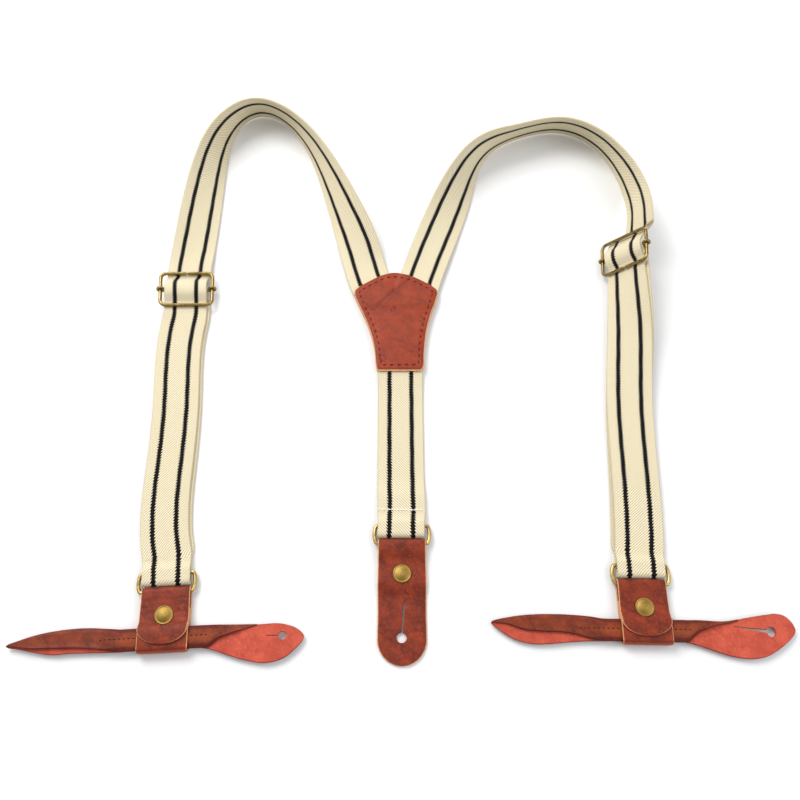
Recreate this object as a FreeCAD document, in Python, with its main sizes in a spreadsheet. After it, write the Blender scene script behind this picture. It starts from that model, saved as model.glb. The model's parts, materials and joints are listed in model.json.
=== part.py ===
import FreeCAD, Part
import Sketcher
import math
import os

from FreeCAD import Vector, Rotation, Placement

# Button suspenders laid flat on a table: a leather yoke joins a back strap and
# two shoulder straps of elastic webbing.  Each shoulder strap stands up on its
# inner edge round the shoulder bend, passes through a wire adjuster with a
# movable bar and ends in a wire loop that carries a folded leather tab, and a
# double-ended leather button tab slides through each tab's fold.
#
# Frame: +Z up from the table, +Y from the button tabs towards the shoulder
# bends, +X to the right.  Millimetres.

doc = FreeCAD.newDocument("suspenders")

# ---------------------------------------------------------------- dimensions
SIZES = [
    ("web_width", 25.0),         # elastic webbing
    ("web_thick", 1.5),
    ("web_neck", 24.2),          # webbing drawn in where it passes metal
    ("leather", 1.3),
    ("gap", 0.1),                # laid-together clearance
    ("frame_w", 29.7),           # adjuster frame, wire centre to wire centre
    ("frame_h", 21.9),
    ("frame_corner", 3.2),
    ("frame_wire_r", 1.0),
    ("frame_split", 0.9),
    ("bar_r", 0.75),
    ("bar_lift", 2.59),
    ("frame_lift", 4.4),
    ("ring_w", 27.8),            # wire loop, centre to centre
    ("ring_height", 9.3),
    ("ring_corner", 1.75),
    ("ring_wire_r", 1.0),
    ("ring_lift", 2.65),
    ("ring_low_bar", -3.1),      # lower bar in the loop's own frame
    ("hole_small_r", 2.0),
    ("tab_w", 24.4),             # leather tabs
    ("tab_drop", 28.9),
    ("back_tab_drop", 62.9),
    ("rivet_r", 4.65),
    ("rivet_rise", 1.75),
    ("rivet_shank_r", 1.2),
    ("rivet_clear_r", 1.3),
    ("ear_thick", 2.6),
    ("roll_thick", 3.2),
    ("roll_w", 10.9),
    ("hole_r", 2.5),
    ("slit_w", 0.7),
    ("panel_thick", 1.3),
    ("panel_front_lift", 3.2),
    ("panel_back_lift", 0.06),
    ("stitch_len", 2.7),
    ("stitch_w", 0.6),
    ("stitch_thick", 0.35),
    ("centre_x", 1.2595),
    ("centre_y", 35.2590),
    ("base_z", -0.0114065),
]
sheet = doc.addObject("Spreadsheet::Sheet", "Sizes")
for i, (alias, value) in enumerate(SIZES, start=1):
    sheet.set("A%d" % i, alias)
    sheet.set("B%d" % i, repr(value))
    sheet.setAlias("B%d" % i, alias)
doc.recompute()


def size(alias):
    return float(getattr(sheet, alias))


SHIFT = Vector(-size("centre_x"), -size("centre_y"), -size("base_z"))


# Bands of webbing: (side, rows).  A row is the low edge of the band's back
# face (x, y, z) and the tilt of its width in degrees; side is +1 when the
# width runs to the left of travel and -1 when it runs to the right.
BANDS = {
    "left_shoulder": (-1, [
        (-27.71, 67.50, 1.60, -0.1), (-30.72, 75.72, 1.60, -0.3), (-33.16, 84.13, 1.60, 0.7), (-35.30, 92.61, 1.49, 6.1),
        (-37.29, 101.13, 1.05, 16.0), (-39.22, 109.65, 0.56, 27.2), (-41.18, 118.18, 0.22, 37.5), (-43.22, 126.69, 0.22, 45.9),
        (-45.34, 135.18, 0.22, 52.6), (-47.55, 143.66, 0.22, 58.9), (-49.84, 152.11, 0.22, 65.1), (-52.28, 160.51, 0.22, 71.2),
        (-54.98, 168.84, 0.22, 77.2), (-58.08, 177.03, 0.22, 83.2), (-61.71, 184.99, 0.23, 89.1), (-66.02, 192.62, 0.34, 94.7),
        (-71.10, 199.74, 0.49, 100.2), (-77.18, 206.03, 0.61, 105.1), (-84.54, 210.79, 0.70, 108.5), (-93.14, 212.11, 0.71, 109.0),
        (-101.19, 208.68, 0.63, 106.0), (-106.84, 202.03, 0.45, 99.1), (-110.24, 193.96, 0.23, 89.4), (-112.04, 185.40, 0.22, 78.5),
        (-112.82, 176.68, 0.22, 68.2), (-113.04, 167.92, 0.22, 59.3), (-113.02, 159.17, 0.22, 52.0), (-112.95, 150.42, 0.22, 45.8),
        (-112.89, 141.66, 0.22, 40.2), (-112.86, 132.91, 0.22, 34.8), (-112.87, 124.15, 0.22, 29.6), (-112.93, 115.40, 0.22, 24.6),
        (-113.10, 106.64, 0.22, 19.6), (-113.33, 97.91, 0.64, 13.5), (-113.51, 89.20, 1.65, 7.7), (-113.60, 80.46, 1.98, 7.0),
    ]),
    "right_shoulder": (1, [
        (21.90, 67.00, 1.60, -0.1), (24.09, 74.72, 1.60, -0.1), (26.48, 82.37, 1.60, 0.9), (28.99, 90.00, 1.57, 4.1),
        (31.54, 97.59, 1.21, 8.3), (34.08, 105.19, 0.77, 12.7), (36.57, 112.81, 0.33, 17.4), (38.95, 120.47, 0.22, 22.9),
        (41.16, 128.18, 0.22, 29.5), (43.15, 135.95, 0.22, 37.3), (44.92, 143.77, 0.22, 46.2), (46.59, 151.62, 0.22, 56.0),
        (48.43, 159.43, 0.22, 66.8), (50.84, 167.08, 0.22, 78.7), (54.32, 174.30, 0.25, 90.3), (59.25, 180.63, 0.47, 99.7),
        (65.36, 185.81, 0.64, 106.1), (72.25, 189.92, 0.73, 109.7), (79.57, 193.19, 0.77, 111.5), (87.17, 195.77, 0.79, 112.4),
        (95.01, 197.45, 0.80, 112.8), (103.03, 197.78, 0.80, 112.7), (110.90, 196.28, 0.78, 112.0), (118.16, 192.88, 0.75, 110.5),
        (124.46, 187.92, 0.69, 108.1), (129.75, 181.89, 0.61, 104.9), (134.05, 175.12, 0.51, 101.1), (137.40, 167.83, 0.40, 97.0),
        (139.93, 160.22, 0.28, 92.3), (141.80, 152.42, 0.22, 87.2), (142.96, 144.52, 0.42, 82.8), (143.13, 136.62, 1.77, 79.1),
        (142.51, 128.72, 3.73, 75.7), (141.30, 120.84, 5.46, 72.3), (139.72, 112.98, 6.15, 68.8), (137.97, 105.16, 5.83, 65.0),
    ]),
    "left_front": (-1, [
        (-113.34, 60.40, 2.14, 7.0), (-112.89, 51.82, 2.19, 6.8), (-113.58, 43.22, 2.10, 5.1), (-113.95, 34.61, 2.05, 4.3),
        (-113.79, 26.00, 2.01, 3.6), (-113.27, 17.39, 1.97, 3.1), (-112.57, 8.78, 1.94, 2.6), (-111.87, 0.17, 1.92, 2.1),
        (-111.33, -8.44, 1.91, 1.6), (-110.99, -17.05, 1.90, 0.9), (-110.79, -25.66, 1.90, 0.3), (-110.70, -34.28, 1.89, 0.0),
        (-110.67, -42.92, 1.89, 0.0), (-110.59, -51.55, 1.89, 0.0), (-110.29, -60.16, 1.88, 0.0), (-109.60, -68.75, 1.88, 0.0),
        (-108.36, -77.27, 1.87, 0.0), (-106.35, -85.65, 1.92, 0.0),
    ]),
    "right_front": (1, [
        (124.98, 80.40, 3.58, 47.0), (124.03, 71.72, 3.11, 43.4), (123.00, 63.04, 2.79, 38.8), (121.90, 54.37, 2.56, 32.5),
        (120.75, 45.70, 2.37, 25.6), (119.57, 37.04, 2.23, 19.5), (118.36, 28.37, 2.14, 15.2), (117.18, 19.70, 2.07, 11.5),
        (116.09, 11.03, 2.01, 8.3), (115.13, 2.34, 1.97, 5.9), (114.36, -6.37, 1.94, 4.3), (113.79, -15.09, 1.92, 3.0),
        (113.36, -23.83, 1.90, 2.0), (113.00, -32.57, 1.89, 1.3), (112.66, -41.31, 1.88, 0.8), (112.28, -50.05, 1.87, 0.4),
        (111.83, -58.79, 1.86, 0.2), (111.26, -67.51, 1.86, 0.0), (110.53, -76.22, 1.87, 0.0), (109.47, -84.91, 1.92, 0.0),
    ]),
    "left_return": (-1, [
        (-112.45, 63.79, 0.28, 7.0), (-111.71, 51.80, 0.25, 6.8), (-112.35, 43.14, 0.20, 5.1), (-112.69, 34.59, 0.17, 4.3),
        (-112.50, 26.05, 0.14, 3.6), (-111.97, 17.48, 0.11, 3.1), (-111.26, 8.88, 0.09, 2.6), (-110.54, 0.26, 0.08, 2.1),
        (-109.98, -8.37, 0.08, 1.6), (-109.61, -17.01, 0.09, 0.9), (-109.40, -25.64, 0.10, 0.3), (-109.30, -34.28, 0.10, 0.0),
        (-109.27, -42.91, 0.10, 0.0), (-109.19, -51.52, 0.10, 0.0), (-108.89, -60.08, 0.09, 0.0), (-108.21, -68.59, 0.09, 0.0),
        (-106.99, -77.01, 0.08, 0.0), (-104.99, -85.33, 0.13, 0.0),
    ]),
    "right_return": (1, [
        (127.46, 84.70, 3.26, 47.0), (126.12, 71.48, 2.64, 43.4), (125.03, 62.79, 2.14, 38.8), (123.70, 54.14, 1.59, 32.5),
        (122.27, 45.50, 1.12, 25.6), (120.78, 36.87, 0.77, 19.5), (119.31, 28.24, 0.54, 15.2), (117.86, 19.61, 0.38, 11.5),
        (116.50, 10.98, 0.26, 8.3), (115.30, 2.32, 0.18, 5.9), (114.31, -6.37, 0.14, 4.3), (113.53, -15.08, 0.11, 3.0),
        (112.89, -23.81, 0.09, 2.0), (112.34, -32.55, 0.08, 1.3), (111.81, -41.28, 0.07, 0.8), (111.26, -50.00, 0.07, 0.4),
        (110.63, -58.72, 0.07, 0.2), (109.89, -67.41, 0.07, 0.0), (109.14, -76.08, 0.08, 0.0), (108.08, -84.74, 0.13, 0.0),
    ]),
    "back": (-1, [
        (12.80, 44.00, 1.56, 0.0), (12.74, 39.15, 1.56, 0.0), (12.70, 34.32, 1.55, 0.0), (12.68, 29.51, 1.55, 0.0),
        (12.68, 24.71, 1.53, 0.0), (12.69, 19.92, 1.52, 0.0), (12.70, 15.13, 1.48, 0.0), (12.72, 10.34, 1.04, 0.0),
        (12.75, 5.54, 0.53, 0.0), (12.77, 0.74, 0.30, 0.0), (12.79, -4.07, 0.13, 0.0), (12.80, -8.89, 0.08, 0.0),
        (12.82, -13.70, 0.08, 0.0), (12.84, -18.52, 0.08, 0.0), (12.85, -23.34, 0.08, 0.0), (12.88, -28.15, 0.08, 0.0),
        (12.90, -32.96, 0.08, 0.0), (12.93, -37.77, 0.08, 0.0), (12.97, -42.58, 0.08, 0.0), (13.01, -47.38, 0.13, 0.0),
        (13.08, -52.16, 0.81, 0.0), (13.19, -56.88, 1.73, 0.0), (13.27, -61.68, 1.82, 0.0), (13.35, -66.50, 1.92, 0.0),
    ]),
}


# Local frames: origin, turn about Z, tilt about the strap's own length.
LEFT_SLIDER = (Vector(-126.4, 69.5, 1.95), 5.0, 7.0)
RIGHT_SLIDER = (Vector(135.7, 89.7, 11.6), -5.0, -47.0)
LEFT_RING = (Vector(-116.3, -104.1, 0.0), 3.0, 0.0)
RIGHT_RING = (Vector(120.5, -100.3, 0.0), -1.0, 0.0)
BACK_RING = (Vector(1.0, -79.6, 0.0), 0.0, 0.0)


def local(frame):
    origin, turn, tilt = frame
    rot = Rotation(Vector(0, 0, 1), turn).multiply(Rotation(Vector(0, 1, 0), tilt))
    return Placement(origin + SHIFT, rot)


nodes = []


def keep(obj, label, placement=None):
    obj.Label = label
    if placement is not None:
        obj.Placement = placement
    nodes.append(obj)
    return obj


# ------------------------------------------------------------ PartDesign help
def plane(body, role):
    for feature in body.Origin.OriginFeatures:
        if feature.Role == role:
            return feature
    raise RuntimeError(role)


def new_body(name):
    return doc.addObject("PartDesign::Body", name)


def sketch_on(body, name, role, offset=None):
    sk = body.newObject("Sketcher::SketchObject", name)
    sk.AttachmentSupport = [(plane(body, role), "")]
    sk.MapMode = "FlatFace"
    if offset is not None:
        sk.AttachmentOffset = offset
    return sk


def add_polygon(sk, pts):
    n = len(pts)
    for i in range(n):
        a, b = pts[i], pts[(i + 1) % n]
        sk.addGeometry(Part.LineSegment(Vector(a[0], a[1], 0), Vector(b[0], b[1], 0)), False)


def spline(pts, closed=False):
    curve = Part.BSplineCurve()
    curve.interpolate(Points=[Vector(p[0], p[1], 0) for p in pts], PeriodicFlag=closed)
    return curve


def add_outline(sk, runs):
    """runs: list of point lists; each run is a smooth curve, ends shared."""
    for run in runs:
        if len(run) == 2:
            sk.addGeometry(Part.LineSegment(Vector(run[0][0], run[0][1], 0),
                                            Vector(run[1][0], run[1][1], 0)), False)
        else:
            pts = spline(run).discretize(3 * len(run))
            for a, b in zip(pts[:-1], pts[1:]):
                sk.addGeometry(Part.LineSegment(a, b), False)


def rounded_rect(sk, w, ht, r, split=None, split_top=True):
    """centred rounded rectangle; split leaves an opening in one long side."""
    x, y = w / 2.0, ht / 2.0
    V = lambda a, b: Vector(a, b, 0)
    segs = []
    if split is None:
        segs.append(Part.LineSegment(V(0, y), V(x - r, y)))
    else:
        segs.append(Part.LineSegment(V(split / 2.0, y), V(x - r, y)))
    q = r * math.sqrt(0.5)
    segs.append(Part.Arc(V(x - r, y), V(x - r + q, y - r + q), V(x, y - r)))
    segs.append(Part.LineSegment(V(x, y - r), V(x, -y + r)))
    segs.append(Part.Arc(V(x, -y + r), V(x - r + q, -y + r - q), V(x - r, -y)))
    segs.append(Part.LineSegment(V(x - r, -y), V(-x + r, -y)))
    segs.append(Part.Arc(V(-x + r, -y), V(-x + r - q, -y + r - q), V(-x, -y + r)))
    segs.append(Part.LineSegment(V(-x, -y + r), V(-x, y - r)))
    segs.append(Part.Arc(V(-x, y - r), V(-x + r - q, y - r + q), V(-x + r, y)))
    if split is None:
        segs.append(Part.LineSegment(V(-x + r, y), V(0, y)))
    else:
        segs.append(Part.LineSegment(V(-x + r, y), V(-split / 2.0, y)))
    for s in segs:
        sk.addGeometry(s, False)


def pad(body, name, sk, length_expr):
    p = body.newObject("PartDesign::Pad", name)
    p.Profile = sk
    p.setExpression("Length", length_expr)
    doc.recompute()
    return p


def pocket(body, name, sk, length_expr, reverse=False):
    before = body.Shape.Volume
    p = body.newObject("PartDesign::Pocket", name)
    p.Profile = sk
    p.setExpression("Length", length_expr)
    p.Reversed = reverse
    doc.recompute()
    if abs(body.Shape.Volume - before) < 1e-3:
        p.Reversed = not reverse
        doc.recompute()
    if not body.Shape.Volume < before - 1e-3:
        raise RuntimeError("pocket %s cuts nothing" % name)
    return p


# -------------------------------------------------------------------- webbing
def band_solid(side, rows, width, thick):
    """closed band whose width tilts from row to row: four ruled faces between
    four smooth edges and two end faces."""
    pts = [Vector(*r[:3]) + SHIFT for r in rows]
    n = len(rows)
    es, ns = [], []
    for i, row in enumerate(rows):
        a, b = pts[max(0, i - 1)], pts[min(n - 1, i + 1)]
        t = Vector(b.x - a.x, b.y - a.y, 0)
        t.normalize()
        out = Vector(-t.y, t.x, 0) * side
        phi = math.radians(row[3])
        es.append(out * math.cos(phi) + Vector(0, 0, 1) * math.sin(phi))
        ns.append(out * (-math.sin(phi)) + Vector(0, 0, 1) * math.cos(phi))
    par = [0.0]
    for i in range(1, n):
        par.append(par[-1] + (pts[i] - pts[i - 1]).Length)
    corner = []
    for u, v in ((0, 0), (width, 0), (width, thick), (0, thick)):
        line = [p + e * u + m * v for p, e, m in zip(pts, es, ns)]
        c = Part.BSplineCurve()
        c.interpolate(Points=line, Parameters=par)
        corner.append(c.toShape())
    faces = [Part.makeRuledSurface(corner[k], corner[(k + 1) % 4]) for k in range(4)]
    for end in (0, -1):
        ring = [(pts[end] + es[end] * u + ns[end] * v)
                for u, v in ((0, 0), (width, 0), (width, thick), (0, thick))]
        faces.append(Part.Face(Part.makePolygon(ring + [ring[0]])))
    shell = Part.makeShell(faces)
    shell.sewShape()
    solid = Part.Solid(shell)
    if solid.Volume < 0:
        solid.reverse()
    return solid


def webbing(label, key, width="web_width"):
    side, rows = BANDS[key]
    obj = doc.addObject("Part::Feature", label)
    obj.Shape = band_solid(side, rows, size(width), size("web_thick"))
    return keep(obj, label)


webbing("left_shoulder_strap", "left_shoulder")
webbing("right_shoulder_strap", "right_shoulder")
webbing("left_front_strap", "left_front")
webbing("right_front_strap", "right_front")
webbing("left_return_strap", "left_return")
webbing("right_return_strap", "right_return")
webbing("back_strap", "back")


def strip_sides(path, thick):
    """both sides of a folded strip from its middle line."""
    n = len(path)
    left, right = [], []
    for i in range(n):
        a, b = path[max(0, i - 1)], path[min(n - 1, i + 1)]
        dx, dy = b[0] - a[0], b[1] - a[1]
        d = math.hypot(dx, dy)
        nx, ny = -dy / d, dx / d
        left.append((path[i][0] + nx * thick / 2, path[i][1] + ny * thick / 2))
        right.append((path[i][0] - nx * thick / 2, path[i][1] - ny * thick / 2))
    return left, right


def dense(path, step=0.9):
    c = Part.BSplineCurve()
    c.interpolate(Points=[Vector(p[0], p[1], 0) for p in path])
    count = max(8, int(c.length() / step))
    return [(v.x, v.y) for v in c.discretize(count)]


def strip_body(label, path, thick, width, frame, cx=0.0):
    """folded strip: its section in the YZ plane, padded across X."""
    body = new_body(label)
    sk = sketch_on(body, label + "_section", "YZ_Plane",
                   Placement(Vector(0, 0, cx - size(width) / 2.0), Rotation()))
    mid = dense(path)
    left, right = strip_sides(mid, thick)
    add_polygon(sk, left + list(reversed(right)))
    pad(body, label + "_pad", sk, "Sizes." + width)
    return keep(body, label, local(frame))


def arc_points(cy, cz, r, a0, a1, count):
    return [(cy + r * math.cos(math.radians(a0 + (a1 - a0) * i / (count - 1))),
             cz + r * math.sin(math.radians(a0 + (a1 - a0) * i / (count - 1)))) for i in range(count)]


# Webbing folded round the upper bar of each wire loop.
t = size("web_thick")
mid_r = size("ring_wire_r") + size("gap") + t / 2
loop_y = 2.3                 # the webbing's loop hangs clear of the upper bar
lift = size("ring_lift")
upper_y = size("ring_low_bar") + size("ring_height")
front_run = [(12.6, 2.70), (11.2, 2.95), (9.4, 3.80), (7.7, 4.50), (upper_y, lift + mid_r + 0.05), (4.2, lift + mid_r)]
strap_fold = (front_run + arc_points(loop_y, lift, mid_r, 90, 270, 13)
              + [(4.6, 0.05 + t / 2), (8.5, 0.05 + t / 2), (12.6, 0.05 + t / 2)])
strip_body("left_strap_ring_fold", strap_fold, t, "web_neck", LEFT_RING, -0.8)
strip_body("right_strap_ring_fold", strap_fold, t, "web_neck", RIGHT_RING, 0.9)
back_fold = (front_run + arc_points(loop_y, lift, mid_r, 90, 270, 13)
             + [(4.6, 0.05 + t / 2), (8.5, 0.05 + t / 2), (15.0, 0.05 + t / 2), (21.5, 0.05 + t / 2)])
strip_body("back_strap_ring_fold", back_fold, t, "web_neck", BACK_RING, 0.0)

# Webbing that passes through each adjuster over the movable bar.
hump = [(-9.1, 1.7), (-7.8, 1.75), (-5.5, 3.2), (-3.4, 4.65), (-1.6, 5.2), (0.0, 5.3), (1.6, 5.2),
        (3.4, 4.65), (5.5, 3.2), (7.8, 1.75), (9.1, 1.7)]
hump = [(y, z + t / 2 + (0.0 if abs(y) > 7 else 0.0)) for y, z in hump]
strip_body("left_slider_webbing", hump, t, "web_neck", LEFT_SLIDER)
hump_far = hump[:-1] + [(8.8, 1.65 + t / 2), (10.9, 1.2 + t / 2), (12.8, -0.1 + t / 2)]
strip_body("right_slider_webbing", hump_far, t, "web_neck", RIGHT_SLIDER)


# Sewn end of the strap, folded round the movable bar.
def sewn_end(label, frame):
    body = new_body(label)
    w = size("web_neck")
    sk = sketch_on(body, label + "_section", "YZ_Plane", Placement(Vector(0, 0, -w / 2.0), Rotation()))
    cz, r = size("bar_lift"), size("bar_r") + 0.08 + t
    a, b = Vector(-5.4, cz - r, 0), Vector(0, cz - r, 0)
    c, d = Vector(0, cz + r, 0), Vector(-5.4, 2.9, 0)
    sk.addGeometry(Part.LineSegment(a, b), False)
    sk.addGeometry(Part.Arc(b, Vector(r, cz, 0), c), False)
    sk.addGeometry(Part.LineSegment(c, d), False)
    sk.addGeometry(Part.LineSegment(d, a), False)
    pad(body, label + "_pad", sk, "Sizes.web_neck")
    hole = sketch_on(body, label + "_bore", "YZ_Plane", Placement(Vector(0, 0, -w), Rotation()))
    hole.addGeometry(Part.Circle(Vector(0, cz, 0), Vector(0, 0, 1), size("bar_r") + 0.08), False)
    pocket(body, label + "_cut", hole, "Sizes.web_neck * 3", reverse=True)
    return keep(body, label, local(frame))


sewn_end("left_strap_sewn_end", LEFT_SLIDER)
sewn_end("right_strap_sewn_end", RIGHT_SLIDER)


# ------------------------------------------------------------------ wire work
def wire_loop(label, frame, w, ht, corner, radius_alias, lift_alias, split=None, flip=False, dx=0.0, dy=0.0):
    body = new_body(label)
    path = sketch_on(body, label + "_path", "XY_Plane", Placement(Vector(0, 0, 0), Rotation()))
    rounded_rect(path, size(w), size(ht), size(corner), None if split is None else size(split))
    start_x = 0.0 if split is None else size(split) / 2.0
    prof = sketch_on(body, label + "_wire", "YZ_Plane", Placement(Vector(0, 0, start_x), Rotation()))
    g = prof.addGeometry(Part.Circle(Vector(size(ht) / 2.0, 0, 0), Vector(0, 0, 1), size(radius_alias)), False)
    c = prof.addConstraint(Sketcher.Constraint("Radius", g, size(radius_alias)))
    prof.setExpression("Constraints[%d]" % c, "Sizes." + radius_alias)
    doc.recompute()
    pipe = body.newObject("PartDesign::AdditivePipe", label + "_pipe")
    pipe.Profile = prof
    pipe.Spine = path
    doc.recompute()
    place = local(frame)
    turn = Rotation(Vector(0, 0, 1), 180) if flip else Rotation()
    return keep(body, label, place.multiply(Placement(Vector(dx, dy, size(lift_alias)), turn)))


wire_loop("left_slider_frame", LEFT_SLIDER, "frame_w", "frame_h", "frame_corner", "frame_wire_r",
          "frame_lift", split="frame_split")
wire_loop("right_slider_frame", RIGHT_SLIDER, "frame_w", "frame_h", "frame_corner", "frame_wire_r",
          "frame_lift", split="frame_split", flip=True)
ring_mid = size("ring_low_bar") + size("ring_height") / 2
for label, frame, dx in (("left_ring", LEFT_RING, -0.3), ("right_ring", RIGHT_RING, 0.3), ("back_ring", BACK_RING, 0.0)):
    wire_loop(label, frame, "ring_w", "ring_height", "ring_corner", "ring_wire_r", "ring_lift", dx=dx, dy=ring_mid)


# Movable bar: a rod with an eye round each side of the adjuster frame.
def movable_bar(label, frame):
    rod = doc.addObject("Part::Cylinder", label + "_rod")
    rod.setExpression("Radius", "Sizes.bar_r")
    rod.setExpression("Height", "Sizes.frame_w - 2.4")
    rod.Placement = Placement(Vector(-size("frame_w") / 2 + 1.2, 0, size("bar_lift")), Rotation(Vector(0, 1, 0), 90))
    parts = [rod]
    for tag, sx in (("a", -1), ("b", 1)):
        eye = doc.addObject("Part::Torus", label + "_eye_" + tag)
        eye.setExpression("Radius1", "Sizes.frame_lift - Sizes.bar_lift")
        eye.setExpression("Radius2", "Sizes.bar_r")
        eye.Placement = Placement(Vector(sx * size("frame_w") / 2, 0, size("frame_lift")),
                                  Rotation(Vector(1, 0, 0), 90))
        parts.append(eye)
    fuse = doc.addObject("Part::MultiFuse", label)
    fuse.Shapes = parts
    doc.recompute()
    return keep(fuse, label, local(frame))


movable_bar("left_slider_bar", LEFT_SLIDER)
movable_bar("right_slider_bar", RIGHT_SLIDER)


# ---------------------------------------------------------------- leather tabs
lt = size("leather")
low_r = size("ring_wire_r") + size("gap") + lt / 2
bar_y = size("ring_low_bar")
fold_top = lift + low_r
back_mid = lift - low_r


def round_end(body, label, w, y0, yt, depth):
    """cut both corners beyond a half-oval end, from above down to a depth."""
    for tag, sx in (("a", -1), ("b", 1)):
        sk = sketch_on(body, label + "_corner_" + tag, "XY_Plane", Placement(Vector(0, 0, 9.0), Rotation()))
        arc = [(sx * w * math.cos(math.radians(a)), y0 + (yt - y0) * math.sin(math.radians(a)))
               for a in range(0, 91, 9)]
        arc[-1] = (0.0, yt)
        add_polygon(sk, arc + [(0.0, yt - 1.0), (sx * (w + 1.0), yt - 1.0), (sx * (w + 1.0), y0)])
        pocket(body, label + "_round_" + tag, sk, depth)


def front_tab(label, frame):
    path = ([(-size("tab_drop"), 7.05), (-26.0, 7.05), (-23.4, 7.03), (-21.3, 6.72), (-19.2, 5.35),
             (-17.4, 4.45), (-15.0, 4.25), (-11.0, 4.25), (-7.0, 4.35), (-5.0, fold_top)]
            + arc_points(bar_y, lift, low_r, 90, -90, 11)
            + [(-5.0, back_mid), (-10.0, back_mid), (-16.0, back_mid), (-22.0, back_mid),
               (-28.0, back_mid), (-29.6, back_mid + 0.03), (-31.1, back_mid + 0.45), (-31.9, back_mid + 1.4),
               (-32.05, 3.4), (-31.6, 4.6), (-30.3, 5.35), (-28.2, 5.6), (-25.0, 5.6), (-22.9, 5.55),
               (-21.2, 5.0), (-19.4, 3.4), (-17.8, 2.55), (-15.6, 2.35), (-11.6, 2.35)])
    body = strip_body(label, path, lt, "tab_w", frame)
    # the flap's end is rounded: its two corners are cut away above the fold
    round_end(body, label, size("tab_w") / 2, -21.4, -size("tab_drop"), "2.68 mm")
    hole = sketch_on(body, label + "_rivet_hole", "XY_Plane", Placement(Vector(0, 0, 9.0), Rotation()))
    hole.addGeometry(Part.Circle(Vector(0, -15.0, 0), Vector(0, 0, 1), size("rivet_clear_r")), False)
    pocket(body, label + "_rivet_cut", hole, "20 mm")
    # leather is pressed flat under the rivet cap
    seat = sketch_on(body, label + "_rivet_seat", "XY_Plane", Placement(Vector(0, 0, 9.0), Rotation()))
    seat.addGeometry(Part.Circle(Vector(0, -15.0, 0), Vector(0, 0, 1), size("rivet_r") + 0.06), False)
    pocket(body, label + "_rivet_press", seat, "4.07 mm")
    return body


front_tab("left_tab", LEFT_RING)
front_tab("right_tab", RIGHT_RING)


def back_tab(label, frame):
    path = ([(-size("back_tab_drop"), 0.75), (-50.0, 0.75), (-40.0, 0.75), (-33.0, 0.77), (-29.0, 1.05),
             (-26.0, 1.9), (-23.8, 2.42), (-18.7, 2.42), (-13.8, 2.44), (-11.5, 2.8), (-8.0, 3.9), (-5.0, fold_top - 0.03)]
            + arc_points(bar_y, lift, low_r, 90, -90, 11)
            + [(-5.0, back_mid), (-12.0, back_mid), (-18.0, back_mid), (-23.6, back_mid)])
    body = strip_body(label, path, lt, "tab_w", frame)
    round_end(body, label, size("tab_w") / 2, -50.5, -size("back_tab_drop"), "20 mm")
    hole = sketch_on(body, label + "_button", "XY_Plane", Placement(Vector(0, 0, 9.0), Rotation()))
    hole.addGeometry(Part.Circle(Vector(-0.2, -49.7, 0), Vector(0, 0, 1), size("hole_r")), False)
    pocket(body, label + "_button_cut", hole, "20 mm")
    s2 = size("slit_w") / 2
    slit = sketch_on(body, label + "_slit", "XY_Plane", Placement(Vector(0, 0, 9.0), Rotation()))
    add_polygon(slit, [(0.1 - s2, -48.2), (0.1 + s2, -48.2), (1.2 + s2, -32.2), (1.2 - s2, -32.2)])
    pocket(body, label + "_slit_cut", slit, "20 mm")
    rh = sketch_on(body, label + "_rivet_hole", "XY_Plane", Placement(Vector(0, 0, 9.0), Rotation()))
    rh.addGeometry(Part.Circle(Vector(0, -18.7, 0), Vector(0, 0, 1), size("rivet_clear_r")), False)
    pocket(body, label + "_rivet_cut", rh, "20 mm")
    return body


back_tab("back_tab", BACK_RING)


# --------------------------------------------------------------------- rivets
def rivet(prefix, frame, y, seat, foot):
    """domed cap seated on the leather and a shank with a flat foot below."""
    r, rise = size("rivet_r"), size("rivet_rise")
    body = new_body(prefix + "_rivet_cap")
    sk = sketch_on(body, prefix + "_cap_section", "XZ_Plane")
    crown = [(r * math.cos(math.radians(a)), 0.35 + (rise - 0.35) * math.sin(math.radians(a)))
             for a in range(0, 90, 10)]
    add_polygon(sk, [(0.0, 0.0), (r, 0.0)] + crown + [(0.0, rise)])
    doc.recompute()
    rev = body.newObject("PartDesign::Revolution", prefix + "_cap_turn")
    rev.Profile = sk
    rev.ReferenceAxis = (sk, ["V_Axis"])
    rev.Angle = 360
    doc.recompute()
    keep(body, prefix + "_rivet_cap", local(frame).multiply(Placement(Vector(0, y, seat), Rotation())))
    shank = doc.addObject("Part::Cylinder", prefix + "_shank")
    shank.setExpression("Radius", "Sizes.rivet_shank_r")
    shank.Height = seat - foot - 0.02
    disc = doc.addObject("Part::Cylinder", prefix + "_foot")
    disc.Radius = 3.0
    disc.Height = 0.18
    fuse = doc.addObject("Part::MultiFuse", prefix + "_rivet_shank")
    fuse.Shapes = [shank, disc]
    doc.recompute()
    keep(fuse, prefix + "_rivet_shank", local(frame).multiply(Placement(Vector(0, y, foot), Rotation())))


rivet("left", LEFT_RING, -15.0, 4.25 + lt / 2 + 0.04, 0.05)
rivet("right", RIGHT_RING, -15.0, 4.25 + lt / 2 + 0.04, 0.05)
rivet("back", BACK_RING, -18.7, 2.42 + lt / 2 + 0.16, 0.05)


# ----------------------------------------------------------------- button tabs
ROLL_Y = -25.85


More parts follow.
